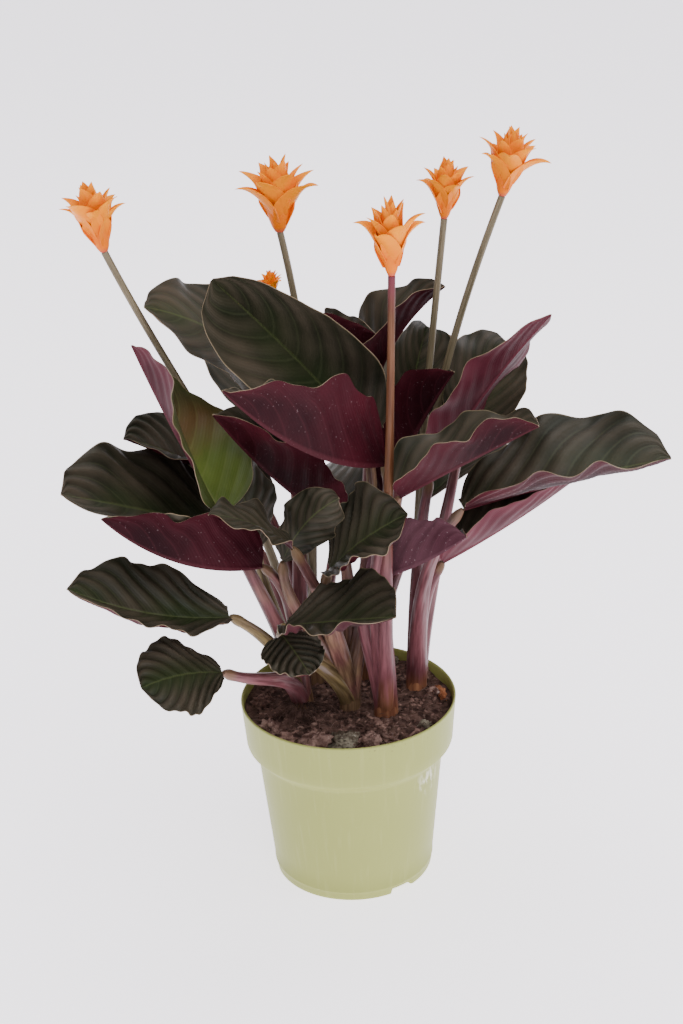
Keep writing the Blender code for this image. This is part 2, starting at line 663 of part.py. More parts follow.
def bract_rows(turn, root_height, length, width, rise, fall):
    """Left, middle and right point and the normal of each row along a bract."""
    outward = Vector((cos(turn), sin(turn), 0.0))
    across = Vector((-sin(turn), cos(turn), 0.0))
    root = core_radius(root_height) - BRACT_ROOT_DEPTH
    point = outward * root + Vector((0.0, 0.0, root_height))
    rows = []
    walked = 0.0
    for share, half_share in BRACT_STATIONS:
        angle = radians(rise + (fall - rise) * (0.5 * (share + walked)) ** 1.6)
        point = point + (outward * cos(angle) + Vector((0.0, 0.0, sin(angle)))) * (
            length * (share - walked))
        walked = share
        facing = radians(rise + (fall - rise) * share ** 1.6)
        normal = Vector((0.0, 0.0, cos(facing))) - outward * sin(facing)
        half = 0.5 * width * half_share
        cup = BRACT_CUP * half * (1 - share)
        row = [point + across * (half * side) + normal * (cup * abs(side)) for side in (-1, 0, 1)]
        rows.append((row, normal))
    return rows


def bract_solid(name, rows, material):
    """One pointed bract as a thin closed blade; its last row is a single point."""
    builder = bmesh.new()
    layers = []
    for offset in (0.5 * BRACT_THICKNESS, -0.5 * BRACT_THICKNESS):
        grid = [[builder.verts.new(place + normal * offset) for place in row]
                for row, normal in rows[:-1]]
        tip_row, tip_normal = rows[-1]
        grid.append([builder.verts.new(tip_row[1] + tip_normal * offset)] * 3)
        layers.append(grid)
    top, bottom = layers
    for row in range(len(rows) - 1):
        for left in range(2):
            for grid in layers:
                lower = (grid[row][left], grid[row][left + 1])
                upper = (grid[row + 1][left], grid[row + 1][left + 1])
                builder.faces.new((lower[0], lower[1], upper[1]))
                if upper[0] != upper[1]:
                    builder.faces.new((lower[0], upper[1], upper[0]))
        for column in (0, 2):
            builder.faces.new((top[row][column], top[row + 1][column], bottom[row + 1][column]))
            builder.faces.new((top[row][column], bottom[row + 1][column], bottom[row][column]))
    for left in range(2):
        builder.faces.new((top[0][left], top[0][left + 1], bottom[0][left + 1]))
        builder.faces.new((top[0][left], bottom[0][left + 1], bottom[0][left]))
    bmesh.ops.recalc_face_normals(builder, faces=builder.faces)
    return make_object(name, builder, material)


def make_flower_head(name, top, lean, size, material):
    """One head: a small core with its tiers of bracts, set on the stalk's top."""
    pieces = [make_object("core", turned_solid(CORE_PROFILE, CORE_SIDES), material)]
    for tier, (count, root, length, width, rise, fall, first) in enumerate(BRACT_TIERS):
        for index in range(count):
            turn = radians(first) + 2 * pi * index / count
            rows = bract_rows(turn, root, length, width, rise, fall)
            pieces.append(bract_solid(f"bract_{tier}_{index}", rows, material))
    head = union_of(name, pieces, material)
    axis = Vector((lean[0], lean[1], 1.0)).normalized()
    turn = Vector((0.0, 0.0, 1.0)).rotation_difference(axis).to_matrix().to_4x4()
    place = Matrix.Translation(Vector(top) + axis * HEAD_GAP) @ turn @ Matrix.Scale(size, 4)
    head.data.transform(place)
    return head


def build():
    """Make every piece."""
    clear_scene()
    pot_green = make_material("pot_green_plastic", (0.51, 0.49, 0.28), 0.45)
    soil_brown = make_material("potting_soil", (0.05, 0.028, 0.018), 0.95)
    leaf_dark = make_material("leaf_dark_green", (0.035, 0.045, 0.025), 0.45)
    stem_mauve = make_material("stem_mauve", (0.22, 0.09, 0.10), 0.5)
    bract_orange = make_material("bract_orange", (0.95, 0.30, 0.01), 0.5)
    make_pot(pot_green)
    soil = make_soil(soil_brown)
    cut_soil_holes(soil)
    soil.data.materials.clear()
    soil.data.materials.append(soil_brown)
    for shoot in SHOOTS:
        make_shoot(shoot, stem_mauve)
    for name, values in LEAVES.items():
        make_leaf(name, values, leaf_dark)
    for name, (_, top, _, _, lean, size) in FLOWERS.items():
        make_flower_head(name, top, lean, size, bract_orange)


build()
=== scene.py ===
from math import cos, log, pi, radians, sin

import bmesh
import bpy
import numpy as np
from mathutils import Matrix, Vector


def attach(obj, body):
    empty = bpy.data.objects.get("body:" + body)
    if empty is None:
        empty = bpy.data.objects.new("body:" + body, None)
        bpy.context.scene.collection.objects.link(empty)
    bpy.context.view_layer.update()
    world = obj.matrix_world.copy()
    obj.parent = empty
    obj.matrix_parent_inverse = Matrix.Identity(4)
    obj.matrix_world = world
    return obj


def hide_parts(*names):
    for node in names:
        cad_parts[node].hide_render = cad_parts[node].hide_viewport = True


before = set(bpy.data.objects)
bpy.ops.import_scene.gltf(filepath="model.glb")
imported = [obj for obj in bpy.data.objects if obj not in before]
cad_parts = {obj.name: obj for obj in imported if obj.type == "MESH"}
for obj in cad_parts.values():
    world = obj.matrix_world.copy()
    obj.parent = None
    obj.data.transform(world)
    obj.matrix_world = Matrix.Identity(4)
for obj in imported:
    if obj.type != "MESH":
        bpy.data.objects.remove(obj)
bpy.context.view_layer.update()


# View, floor and light
# The camera stands where the plant is seen slightly from above. The floor is plain and pale,
# and three broad soft lights and a pale surround leave hardly any shadow.
VIEW_PLACE = (0.0, -1.084, 0.731)
VIEW_PITCH = radians(23.74)
VIEW_ROLL = radians(-2.13)
VIEW_SENSOR = 36.0
VIEW_LENS = 66.76
FLOOR_SIZE = 40.0
FLOOR_COLOUR = (0.95, 0.91, 0.95, 1.0)
FLOOR_GLOW_COLOUR = (0.97, 0.93, 1.0, 1.0)
FLOOR_GLOW = 1.9
SURROUND_COLOUR = (0.94, 0.92, 0.96, 1.0)
SURROUND_STRENGTH = 0.60
LIGHTS = {
    # place, aim, size, power
    "light_front": ((0.4, -1.5, 1.6), (0.0, 0.0, 0.2), 1.0, 17.0),
    "light_right": ((1.6, -0.5, 1.1), (0.0, 0.0, 0.25), 1.0, 8.0),
    "light_top": ((0.1, 0.5, 2.0), (0.0, 0.0, 0.25), 1.4, 22.0),
}
SHARP_ANGLE = radians(50)


def add_object(name, data):
    """An object in the scene."""
    made = bpy.data.objects.new(name, data)
    bpy.context.scene.collection.objects.link(made)
    return made


def mesh_from(name, builder):
    """A mesh from a builder, which it uses up."""
    mesh = bpy.data.meshes.new(name)
    builder.to_mesh(mesh)
    builder.free()
    return mesh


def make_camera():
    """The camera that scene.camera is set to."""
    data = bpy.data.cameras.new("view")
    data.sensor_fit = "VERTICAL"
    data.sensor_height = VIEW_SENSOR
    data.lens = VIEW_LENS
    camera = add_object("view", data)
    turn = Matrix.Rotation(pi / 2 - VIEW_PITCH, 4, "X") @ Matrix.Rotation(VIEW_ROLL, 4, "Z")
    camera.matrix_world = Matrix.Translation(VIEW_PLACE) @ turn
    bpy.context.scene.camera = camera


def make_area_light(name, place, aim, size, power):
    """A square soft light that faces its aim."""
    data = bpy.data.lights.new(name, "AREA")
    data.shape = "SQUARE"
    data.size = size
    data.energy = power
    light = add_object(name, data)
    facing = (Vector(aim) - Vector(place)).to_track_quat("-Z", "Y").to_matrix().to_4x4()
    light.matrix_world = Matrix.Translation(place) @ facing


class Value:
    """A number, place or colour in a tree of nodes, so that sums with it read as plain sums."""

    def __init__(self, socket):
        self.socket = socket
        self.tree = socket.id_data

    def __add__(self, other):
        return calc("ADD", self, other)

    def __sub__(self, other):
        return calc("SUBTRACT", self, other)

    def __rsub__(self, other):
        return calc("SUBTRACT", other, self)

    def __mul__(self, other):
        return calc("MULTIPLY", self, other)

    def __truediv__(self, other):
        return calc("DIVIDE", self, other)

    __radd__ = __add__
    __rmul__ = __mul__


def feed(socket, value):
    """Link an input to a value or an output, or set it to a plain number or colour."""
    if isinstance(value, Value):
        value = value.socket
    if isinstance(value, bpy.types.NodeSocket):
        socket.id_data.links.new(value, socket)
    else:
        socket.default_value = value


def put(tree, kind, sockets=None, **settings):
    """Add a node, set its settings, and feed its inputs."""
    added = tree.nodes.new(kind)
    for key, value in settings.items():
        setattr(added, key, value)
    for key, value in (sockets or {}).items():
        feed(added.inputs[key], value)
    return added


def calc(operation, first, second=0.0):
    """Result of one sum, in which the first or the second term is a Value."""
    tree = first.tree if isinstance(first, Value) else second.tree
    return Value(put(tree, "ShaderNodeMath", {0: first, 1: second}, operation=operation).outputs[0])


def blend(share, first, second):
    """First colour changed to the second by a share; plain colours are red, green and blue."""
    ends = [(*end, 1.0) if isinstance(end, tuple) else end for end in (first, second)]
    made = put(share.tree, "ShaderNodeMix", {0: share, 6: ends[0], 7: ends[1]}, data_type="RGBA")
    return Value(made.outputs[2])


def between(value, low, high):
    """0 below low, 1 above high, and a smooth step from one to the other."""
    made = put(value.tree, "ShaderNodeMapRange", {0: value, 1: low, 2: high},
               interpolation_type="SMOOTHSTEP")
    return Value(made.outputs[0])


def grain(place, scale, detail=2.0, roughness=0.5):
    """Noise from 0 to 1."""
    made = put(place.tree, "ShaderNodeTexNoise",
               {"Vector": place, "Scale": scale, "Detail": detail, "Roughness": roughness})
    return Value(made.outputs[0])


def object_place(tree):
    """Position in the object, in metres."""
    return Value(put(tree, "ShaderNodeTexCoord").outputs["Object"])


def stretched(place, height_scale):
    """A place with its height scaled, so that noise on it is drawn out up and down."""
    made = put(place.tree, "ShaderNodeMapping",
               {"Vector": place, "Scale": (1.0, 1.0, height_scale)})
    return Value(made.outputs[0])


def split(place):
    """A place's three parts."""
    return [Value(part) for part in put(place.tree, "ShaderNodeSeparateXYZ", {0: place}).outputs]


def attribute(tree, name, output="Fac"):
    """A value kept on the mesh's points."""
    return Value(put(tree, "ShaderNodeAttribute", attribute_name=name).outputs[output])


def new_look(name, roughness, specular):
    """A material with its tree and its Principled shader."""
    material = bpy.data.materials.new(name)
    material.use_nodes = True
    tree = material.node_tree
    shader = tree.nodes["Principled BSDF"]
    shader.inputs["Roughness"].default_value = roughness
    shader.inputs["Specular IOR Level"].default_value = specular
    return material, tree, shader


def bump(shader, height, strength, distance):
    """Fine relief from a height."""
    made = put(height.tree, "ShaderNodeBump",
               {"Height": height, "Strength": strength, "Distance": distance})
    feed(shader.inputs["Normal"], made.outputs[0])


def make_floor():
    """A wide plain floor that glows a little, so that it stays pale up to its far edge."""
    builder = bmesh.new()
    bmesh.ops.create_grid(builder, x_segments=1, y_segments=1, size=FLOOR_SIZE)
    floor = add_object("floor", mesh_from("floor", builder))
    look, _, shader = new_look("floor_paint", 0.6, 0.3)
    shader.inputs["Base Color"].default_value = FLOOR_COLOUR
    shader.inputs["Emission Color"].default_value = FLOOR_GLOW_COLOUR
    shader.inputs["Emission Strength"].default_value = FLOOR_GLOW
    floor.data.materials.append(look)


def make_piece(name, mesh, materials, node):
    """A finished piece that stands for a CAD node and takes its finish from a slot."""
    if mesh.materials:
        mesh.materials.clear()
    for material in materials:
        mesh.materials.append(material)
    piece = add_object(name, mesh)
    mesh.shade_smooth()
    mesh.set_sharp_from_angle(angle=SHARP_ANGLE)
    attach(piece, "root")
    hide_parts(node)


make_camera()
make_floor()
surround = bpy.data.worlds.new("surround")
surround.use_nodes = True
background = surround.node_tree.nodes["Background"].inputs
background["Color"].default_value = SURROUND_COLOUR
background["Strength"].default_value = SURROUND_STRENGTH
bpy.context.scene.world = surround
for name, values in LIGHTS.items():
    make_area_light(name, *values)


# Pot
# A thin-walled nursery pot, injection moulded in one piece: a deep collar with a rounded lip,
# a bevelled step under it, a tapered body, a faint ring above the foot and drain notches.
POT_RIM_RADIUS = 0.070
POT_HEIGHT = 0.125
POT_COLLAR_RADIUS = 0.0675
POT_COLLAR_FOOT_HEIGHT = 0.095
POT_SHOULDER_RADIUS = 0.0608
POT_SHOULDER_HEIGHT = 0.088
POT_BASE_RADIUS = 0.0521
POT_WALL = 0.0016
POT_FLOOR = 0.002
POT_TURNS = 192
NOTCH_COUNT = 3
NOTCH_WIDTH = 0.016
NOTCH_HEIGHT = 0.005
NOTCH_FIRST_ANGLE = radians(-54)
FOOT_RING_WIDTH = 0.0045
SCUFF_PLACE = (0.051, -0.034, 0.080)


def pot_inner_radius(height):
    """Radius of the pot's inside at a height."""
    steps = ((0.0, POT_BASE_RADIUS), (POT_SHOULDER_HEIGHT, POT_SHOULDER_RADIUS),
             (POT_COLLAR_FOOT_HEIGHT, POT_COLLAR_RADIUS), (POT_HEIGHT, POT_RIM_RADIUS))
    heights = [step[0] for step in steps]
    radii = [step[1] for step in steps]
    return float(np.interp(height, heights, radii)) - POT_WALL


def pot_profile():
    """Radius, height and lift under a notch, from the middle of the floor round to its inside."""
    inside_floor = NOTCH_HEIGHT + POT_FLOOR
    ring = POT_BASE_RADIUS - FOOT_RING_WIDTH
    slope = (POT_SHOULDER_RADIUS - POT_BASE_RADIUS) / POT_SHOULDER_HEIGHT
    profile = [(0.0, NOTCH_HEIGHT * 0.9, 0), (ring - 0.004, NOTCH_HEIGHT * 0.9, 0),
               (ring - 0.0006, NOTCH_HEIGHT * 0.75, 0.2), (ring, 0.0006, 1),
               (ring + 0.0004, 0.0, 1), (POT_BASE_RADIUS - 0.0008, 0.0, 1),
               (POT_BASE_RADIUS - 0.0002, 0.0004, 1), (POT_BASE_RADIUS + 0.0001, 0.0012, 1),
               (POT_BASE_RADIUS + slope * 0.0042, 0.0042, 0.25),
               (POT_BASE_RADIUS + slope * 0.0056, 0.0056, 0),
               (POT_BASE_RADIUS + slope * 0.0062 + 0.0003, 0.0062, 0),
               (POT_BASE_RADIUS + slope * 0.0072 + 0.0003, 0.0072, 0),
               (POT_BASE_RADIUS + slope * 0.0078, 0.0078, 0)]
    for height in (0.02, 0.035, 0.05, 0.065, 0.078, 0.0865):
        profile.append((POT_BASE_RADIUS + slope * height, height, 0))
    profile += [(POT_SHOULDER_RADIUS + 0.0001, 0.0876, 0), (POT_SHOULDER_RADIUS + 0.0007, 0.0886, 0),
                (POT_COLLAR_RADIUS - 0.0012, 0.0938, 0), (POT_COLLAR_RADIUS - 0.0003, 0.0947, 0),
                (POT_COLLAR_RADIUS + 0.0001, 0.0958, 0)]
    for share in (0.25, 0.5, 0.75, 0.9):
        height = POT_COLLAR_FOOT_HEIGHT + share * (POT_HEIGHT - POT_COLLAR_FOOT_HEIGHT)
        radius = POT_COLLAR_RADIUS + share * (POT_RIM_RADIUS - POT_COLLAR_RADIUS)
        profile.append((radius, height, 0))
    profile += [(POT_RIM_RADIUS - 0.0002, 0.1232, 0), (POT_RIM_RADIUS, 0.1242, 0),
                (POT_RIM_RADIUS - 0.0003, 0.1248, 0), (POT_RIM_RADIUS - 0.0009, 0.125, 0),
                (POT_RIM_RADIUS - 0.0015, 0.1246, 0), (POT_RIM_RADIUS - 0.0018, 0.1236, 0)]
    for height in (0.118, 0.108, 0.096, 0.0945, 0.0885, 0.087, 0.05, inside_floor + 0.001):
        profile.append((pot_inner_radius(height), height, 0))
    profile += [(pot_inner_radius(inside_floor) - 0.001, inside_floor, 0), (0.0, inside_floor, 0)]
    return profile


def notch_share(angle):
    """1 inside a drain notch and 0 outside it, with short steep sides."""
    nearest = pi
    for index in range(NOTCH_COUNT):
        middle = NOTCH_FIRST_ANGLE + 2 * pi * index / NOTCH_COUNT
        away = abs((angle - middle + pi) % (2 * pi) - pi)
        nearest = min(nearest, away)
    half = 0.5 * NOTCH_WIDTH / POT_BASE_RADIUS
    return min(max((half - nearest) / 0.025 + 0.5, 0.0), 1.0)


def pot_angles():
    """Angles round the pot, closer together at the sides of each notch."""
    angles = [2 * pi * turn / POT_TURNS for turn in range(POT_TURNS)]
    half = 0.5 * NOTCH_WIDTH / POT_BASE_RADIUS
    for index in range(NOTCH_COUNT):
        middle = NOTCH_FIRST_ANGLE + 2 * pi * index / NOTCH_COUNT
        for side in (-1, 1):
            for away in (-0.014, -0.006, 0.002, 0.010):
                angles.append((middle + side * (half + away)) % (2 * pi))
    return sorted(angles)


def join_rings(builder, rings):
    """Faces from each closed ring of vertices to the next; a ring of one closes an end."""
    for lower, upper in zip(rings, rings[1:]):
        count = max(len(lower), len(upper))
        for step in range(count):
            after = (step + 1) % count
            if len(lower) == 1:
                corners = (lower[0], upper[after], upper[step])
            elif len(upper) == 1:
                corners = (lower[step], lower[after], upper[0])
            else:
                corners = (lower[step], lower[after], upper[after], upper[step])
            builder.faces.new(corners)


def lathe(profile, angles):
    """Closed turned shape; a radius of 0 closes an end."""
    builder = bmesh.new()
    rings = []
    for radius, height, lift in profile:
        ring = []
        for angle in (angles if radius else angles[:1]):
            raised = height + lift * notch_share(angle) * max(NOTCH_HEIGHT - height, 0.0)
            ring.append(builder.verts.new((radius * cos(angle), radius * sin(angle), raised)))
        rings.append(ring)
    join_rings(builder, rings)
    bmesh.ops.recalc_face_normals(builder, faces=builder.faces)
    return builder


def make_pot_look():
    """Pale green plastic, a little worn: fine scuffs, chalky water marks and soil dust."""
    material, tree, shader = new_look("look_pot_plastic", 0.45, 0.18)
    place = object_place(tree)
    colour = blend(grain(place, 14.0, 3.0), (0.325, 0.350, 0.098), (0.370, 0.395, 0.118))
    streaks = between(grain(stretched(place, 0.04), 300.0, 2.0), 0.52, 0.74)
    colour = blend(0.14 * streaks, colour, (0.55, 0.57, 0.24))
    drawn_out = stretched(place, 0.35)
    scuffs = between(grain(drawn_out, 210.0, 5.0, 0.72), 0.66, 0.76)
    patches = between(grain(place, 26.0, 1.0), 0.56, 0.70)
    away = put(tree, "ShaderNodeVectorMath", {0: place, 1: SCUFF_PLACE}, operation="DISTANCE")
    near = 1.0 - between(Value(away.outputs["Value"]), 0.003, 0.016)
    rubbed = between(grain(drawn_out, 260.0, 4.0, 0.7), 0.50, 0.60)
    worn = calc("MAXIMUM", scuffs * patches, near * rubbed)
    colour = blend(0.75 * worn, colour, (0.82, 0.81, 0.66))
    dust = between(split(place)[2], 0.112, 0.126)
    specks = between(grain(place, 520.0, 3.0, 0.6), 0.63, 0.72)
    feed(shader.inputs["Base Color"], blend(0.6 * dust * specks, colour, (0.10, 0.07, 0.045)))
    feed(shader.inputs["Roughness"], 0.3 * worn + 0.40)
    bump(shader, grain(place, 700.0, 2.0), 0.06, 0.0004)
    return material


pot_builder = lathe(pot_profile(), pot_angles())
make_piece("pot_shell", mesh_from("pot_shell", pot_builder), [make_pot_look()], "pot")


# Soil
# Potting soil poured to just under the rim: a lumpy dark top, and on it loose bark chips,
# crumbs, clods and root fibres, which lie where they fell.
SOIL_TOP = 0.118
SOIL_CROWN = 0.0015
SOIL_GAP = 0.0003
SOIL_RINGS = 60
SOIL_TURNS = 150
SOIL_FLOOR = NOTCH_HEIGHT + POT_FLOOR + SOIL_GAP
PATCH_STEPS = 70
PATCH_MARGIN = 0.0045
LUMPS = np.random.default_rng(7).uniform(-1.0, 1.0, (70, 4))
SOIL_LOOKS = {
    # dark, light, speckle
    "look_soil": ((0.034, 0.016, 0.012), (0.150, 0.088, 0.070), (0.34, 0.23, 0.19)),
    "look_bark": ((0.080, 0.040, 0.031), (0.310, 0.190, 0.155), (0.55, 0.42, 0.37)),
    "look_lichen": ((0.070, 0.050, 0.034), (0.300, 0.265, 0.200), (0.62, 0.58, 0.49)),
    "look_clod": ((0.090, 0.046, 0.036), (0.360, 0.235, 0.195), (0.60, 0.47, 0.42)),
    "look_chip": ((0.160, 0.050, 0.020), (0.420, 0.170, 0.080), (0.55, 0.30, 0.18)),
}
SOIL, BARK, LICHEN, CLOD, ORANGE_CHIP = range(5)
BARK_SIZES = ((0.0034, 0.0014, 0.0006), (0.0026, 0.0019, 0.0009), (0.0018, 0.0013, 0.0010),
              (0.0042, 0.0010, 0.0007), (0.0012, 0.0011, 0.0008))
GRIT_SIZES = ((0.0030, 0.0022, 0.0016), (0.0020, 0.0017, 0.0014))
CRUMB_SIZES = ((0.0011, 0.0009, 0.0008), (0.0008, 0.0007, 0.0006))
FIBRE_LENGTHS = (0.010, 0.007, 0.013, 0.009)
FIBRE_STEPS = 6
FIBRE_RADIUS = 0.00013
CLODS = (
    # place, half sizes, turn in degrees, look
    ((-0.021, -0.051), (0.0100, 0.0078, 0.0058), 20, CLOD),
    ((-0.004, -0.053), (0.0090, 0.0068, 0.0058), -15, LICHEN),
    ((0.013, -0.055), (0.0068, 0.0050, 0.0044), 10, CLOD),
    ((0.026, -0.047), (0.0062, 0.0050, 0.0040), 40, CLOD),
    ((0.020, -0.036), (0.0070, 0.0050, 0.0042), 0, BARK),
    ((0.048, -0.030), (0.0052, 0.0036, 0.0034), 60, LICHEN),
    ((0.056, 0.006), (0.0055, 0.0045, 0.0036), 30, CLOD),
    ((0.050, 0.036), (0.0060, 0.0045, 0.0036), 70, BARK),
    ((-0.050, -0.034), (0.0068, 0.0050, 0.0042), -40, CLOD),
    ((-0.040, -0.046), (0.0050, 0.0045, 0.0035), 10, BARK),
    ((-0.058, 0.002), (0.0050, 0.0040, 0.0034), 80, BARK),
    ((-0.044, 0.040), (0.0060, 0.0050, 0.0036), 15, CLOD),
    ((-0.008, 0.058), (0.0065, 0.0048, 0.0038), -10, BARK),
    ((0.030, 0.055), (0.0050, 0.0042, 0.0030), 50, LICHEN),
    ((0.0605, 0.004), (0.0026, 0.0062, 0.0034), 8, ORANGE_CHIP),
    ((0.033, -0.052), (0.0040, 0.0020, 0.0022), 30, ORANGE_CHIP),
)
# Root fibres that stand out round the left shoot's foot and lean up against it
ROOT_COUNT = 150
ROOT_MIDDLE = (-0.030, -0.004)
ROOT_LENGTHS = (0.009, 0.020)
ROOT_TURNS = (0.85, 2.05)
ROOT_REACH = (0.007, 0.019)
ROOT_RADIUS = 0.00028
ROOT_TILT = 0.35
ROOT_CLIMB_REACH = 0.016


def soil_height(x, y):
    """Height of the soil's top: gentle swells and many small lumps."""
    bumps = np.sin(140 * x + 0.6) * np.cos(115 * y) + 0.6 * np.sin(210 * y + 90 * x)
    height = SOIL_TOP + SOIL_CROWN * bumps
    for east, north, size, lift in LUMPS:
        reach = 0.0035 + 0.0025 * size
        near = ((x - 0.064 * east) ** 2 + (y - 0.064 * north) ** 2) / reach ** 2
        height = height + (0.0009 + 0.0008 * lift) * np.exp(-near)
    return height + 0.0004 * np.sin(900 * x + 3 * np.sin(400 * y)) * np.cos(760 * y)


def soil_rings():
    """Radius and height of each ring, from the bottom up the wall and in over the top."""
    wall = [(pot_inner_radius(height) - SOIL_GAP, height)
            for height in (SOIL_FLOOR, 0.05, POT_SHOULDER_HEIGHT, POT_COLLAR_FOOT_HEIGHT, 0.108)]
    rim = pot_inner_radius(SOIL_TOP) - SOIL_GAP
    top = [(rim * (1 - ring / SOIL_RINGS), None) for ring in range(SOIL_RINGS)]
    return wall + top


def build_soil():
    """The whole plug of soil as one closed mesh."""
    builder = bmesh.new()
    rings = []
    for radius, height in soil_rings():
        ring = []
        for turn in range(SOIL_TURNS):
            angle = 2 * pi * turn / SOIL_TURNS
            x = radius * cos(angle)
            y = radius * sin(angle)
            z = soil_height(x, y) if height is None else height
            ring.append(builder.verts.new((x, y, float(z))))
        rings.append(ring)
    middle = builder.verts.new((0.0, 0.0, float(soil_height(0.0, 0.0))))
    join_rings(builder, rings + [[middle]])
    builder.faces.new(list(reversed(rings[0])))
    bmesh.ops.recalc_face_normals(builder, faces=builder.faces)
    return builder


def make_chip(name, size, seed):
    """A ragged flat flake or a lump, of a few dozen faces."""
    draw = np.random.default_rng(seed)
    builder = bmesh.new()
    bmesh.ops.create_icosphere(builder, subdivisions=1, radius=1.0)
    for vertex in builder.verts:
        ragged = 1.0 + 0.35 * draw.uniform(-1.0, 1.0)
        vertex.co = Vector((vertex.co.x * size[0], vertex.co.y * size[1],
                            vertex.co.z * size[2])) * ragged
    return bpy.data.objects.new(name, mesh_from(name, builder))


def make_fibre(name, length, seed, thickness=FIBRE_RADIUS):
    """A thin bent root fibre."""
    draw = np.random.default_rng(seed)
    builder = bmesh.new()
    bend_side = draw.uniform(-0.5, 0.5)
    rings = []
    for step in range(FIBRE_STEPS + 1):
        share = step / FIBRE_STEPS
        middle = Vector((length * (share - 0.5), length * bend_side * share * (1 - share),
                         0.0012 + 0.0016 * sin(pi * share) + 0.0004 * draw.uniform(-1.0, 1.0)))
        radius = thickness * (1.2 - share)
        rings.append([builder.verts.new(middle + Vector((0.0, radius * cos(turn), radius * sin(turn))))
                      for turn in (0.0, 2.1, 4.2)])
    join_rings(builder, rings)
    builder.faces.new(list(reversed(rings[0])))
    builder.faces.new(rings[-1])
    return bpy.data.objects.new(name, mesh_from(name, builder))


def add_lump(builder, place, size, turn, seed, slot_index):
    """A big ragged clod that sits half sunk in the soil."""
    draw = np.random.default_rng(seed)
    waves = draw.uniform(-1.0, 1.0, (9, 4))
    made = bmesh.ops.create_icosphere(builder, subdivisions=4, radius=1.0)
    height = float(soil_height(place[0], place[1]))
    spin = Matrix.Rotation(radians(turn), 4, "Z")
    for vertex in made["verts"]:
        x, y, z = vertex.co
        rough = 1.0
        for index, (east, north, top, phase) in enumerate(waves):
            swing = sin((4 + 3.0 * index) * (east * x + north * y + top * z) + 6 * phase)
            rough += 0.42 / (2.0 + 0.8 * index) * swing
        spot = spin @ Vector((x * size[0] * rough, y * size[1] * rough, z * size[2] * rough))
        vertex.co = spot + Vector((place[0], place[1], height + 0.25 * size[2]))
        for face in vertex.link_faces:
            face.material_index = slot_index


def open_tree(name, inputs):
    """A Geometry Nodes tree with named inputs, their identifiers by name, and their sockets."""
    tree = bpy.data.node_groups.new(name, "GeometryNodeTree")
    tree.interface.new_socket(name="Geometry", in_out="OUTPUT", socket_type="NodeSocketGeometry")
    names = {}
    for title, kind, value in inputs:
        socket = tree.interface.new_socket(name=title, in_out="INPUT", socket_type="NodeSocket" + kind)
        if value is not None:
            socket.default_value = value
        names[title] = socket.identifier
    return tree, names, tree.nodes.new("NodeGroupInput").outputs


def close_tree(tree, instances, look):
    """Real geometry in one look as the tree's result."""
    solid = put(tree, "GeometryNodeRealizeInstances", {0: instances})
    coloured = put(tree, "GeometryNodeSetMaterial", {"Geometry": solid.outputs[0], "Material": look})
    put(tree, "NodeGroupOutput", {0: coloured.outputs[0]})


def random_value(tree, kind, low, high, seed=0):
    """A value of its own for each point, from low to high."""
    made = put(tree, "FunctionNodeRandomValue", {"Seed": seed}, data_type=kind)
    for socket, value in zip([socket for socket in made.inputs if socket.enabled], (low, high)):
        feed(socket, value)
    return Value([socket for socket in made.outputs if socket.enabled][0])


def set_on_points(tree, points, collection, **inputs):
    """The collection's objects set on points, with more inputs by name."""
    objects = put(tree, "GeometryNodeCollectionInfo",
                  {"Collection": collection, "Separate Children": True, "Reset Children": True})
    sockets = {"Points": points, "Instance": objects.outputs[0], "Pick Instance": True}
    for name, value in inputs.items():
        sockets[name.replace("_", " ").title()] = value
    return put(tree, "GeometryNodeInstanceOnPoints", sockets).outputs[0]


def scatter_tree():
    """Loose bits strewn over a surface: named inputs for their number, size and seed."""
    tree, names, source = open_tree("scatter_bits", (
        ("Surface", "Geometry", None), ("Density", "Float", 9000.0), ("Spacing", "Float", 0.002),
        ("Smallest", "Float", 0.5), ("Largest", "Float", 1.4), ("Tilt", "Float", 0.5),
        ("Seed", "Int", 3), ("Bits", "Collection", None), ("Look", "Material", None)))
    points = put(tree, "GeometryNodeDistributePointsOnFaces",
                 {"Mesh": source["Surface"], "Distance Min": source["Spacing"],
                  "Density Max": source["Density"], "Seed": source["Seed"]},
                 distribute_method="POISSON")
    size = random_value(tree, "FLOAT", source["Smallest"], source["Largest"], source["Seed"])
    lean = put(tree, "ShaderNodeCombineXYZ", {0: source["Tilt"], 1: source["Tilt"], 2: pi})
    back = put(tree, "ShaderNodeVectorMath", {0: lean.outputs[0], "Scale": -1.0}, operation="SCALE")
    spin = random_value(tree, "FLOAT_VECTOR", back.outputs[0], lean.outputs[0])
    placed = set_on_points(tree, points.outputs["Points"], source["Bits"], rotation=spin, scale=size)
    close_tree(tree, placed, source["Look"])
    return tree, names


def run_tree(tree, names, mesh, values):
    """Plain mesh that a tree makes from a mesh with its inputs set."""
    carrier = add_object("carrier", mesh)
    modifier = carrier.modifiers.new("build", "NODES")
    modifier.node_group = tree
    for name, value in values.items():
        modifier[names[name]] = value
    bpy.context.view_layer.update()
    ready = carrier.evaluated_get(bpy.context.evaluated_depsgraph_get())
    made = bpy.data.meshes.new_from_object(ready)
    carrier.modifiers.remove(modifier)
    bpy.data.objects.remove(carrier)
    return made


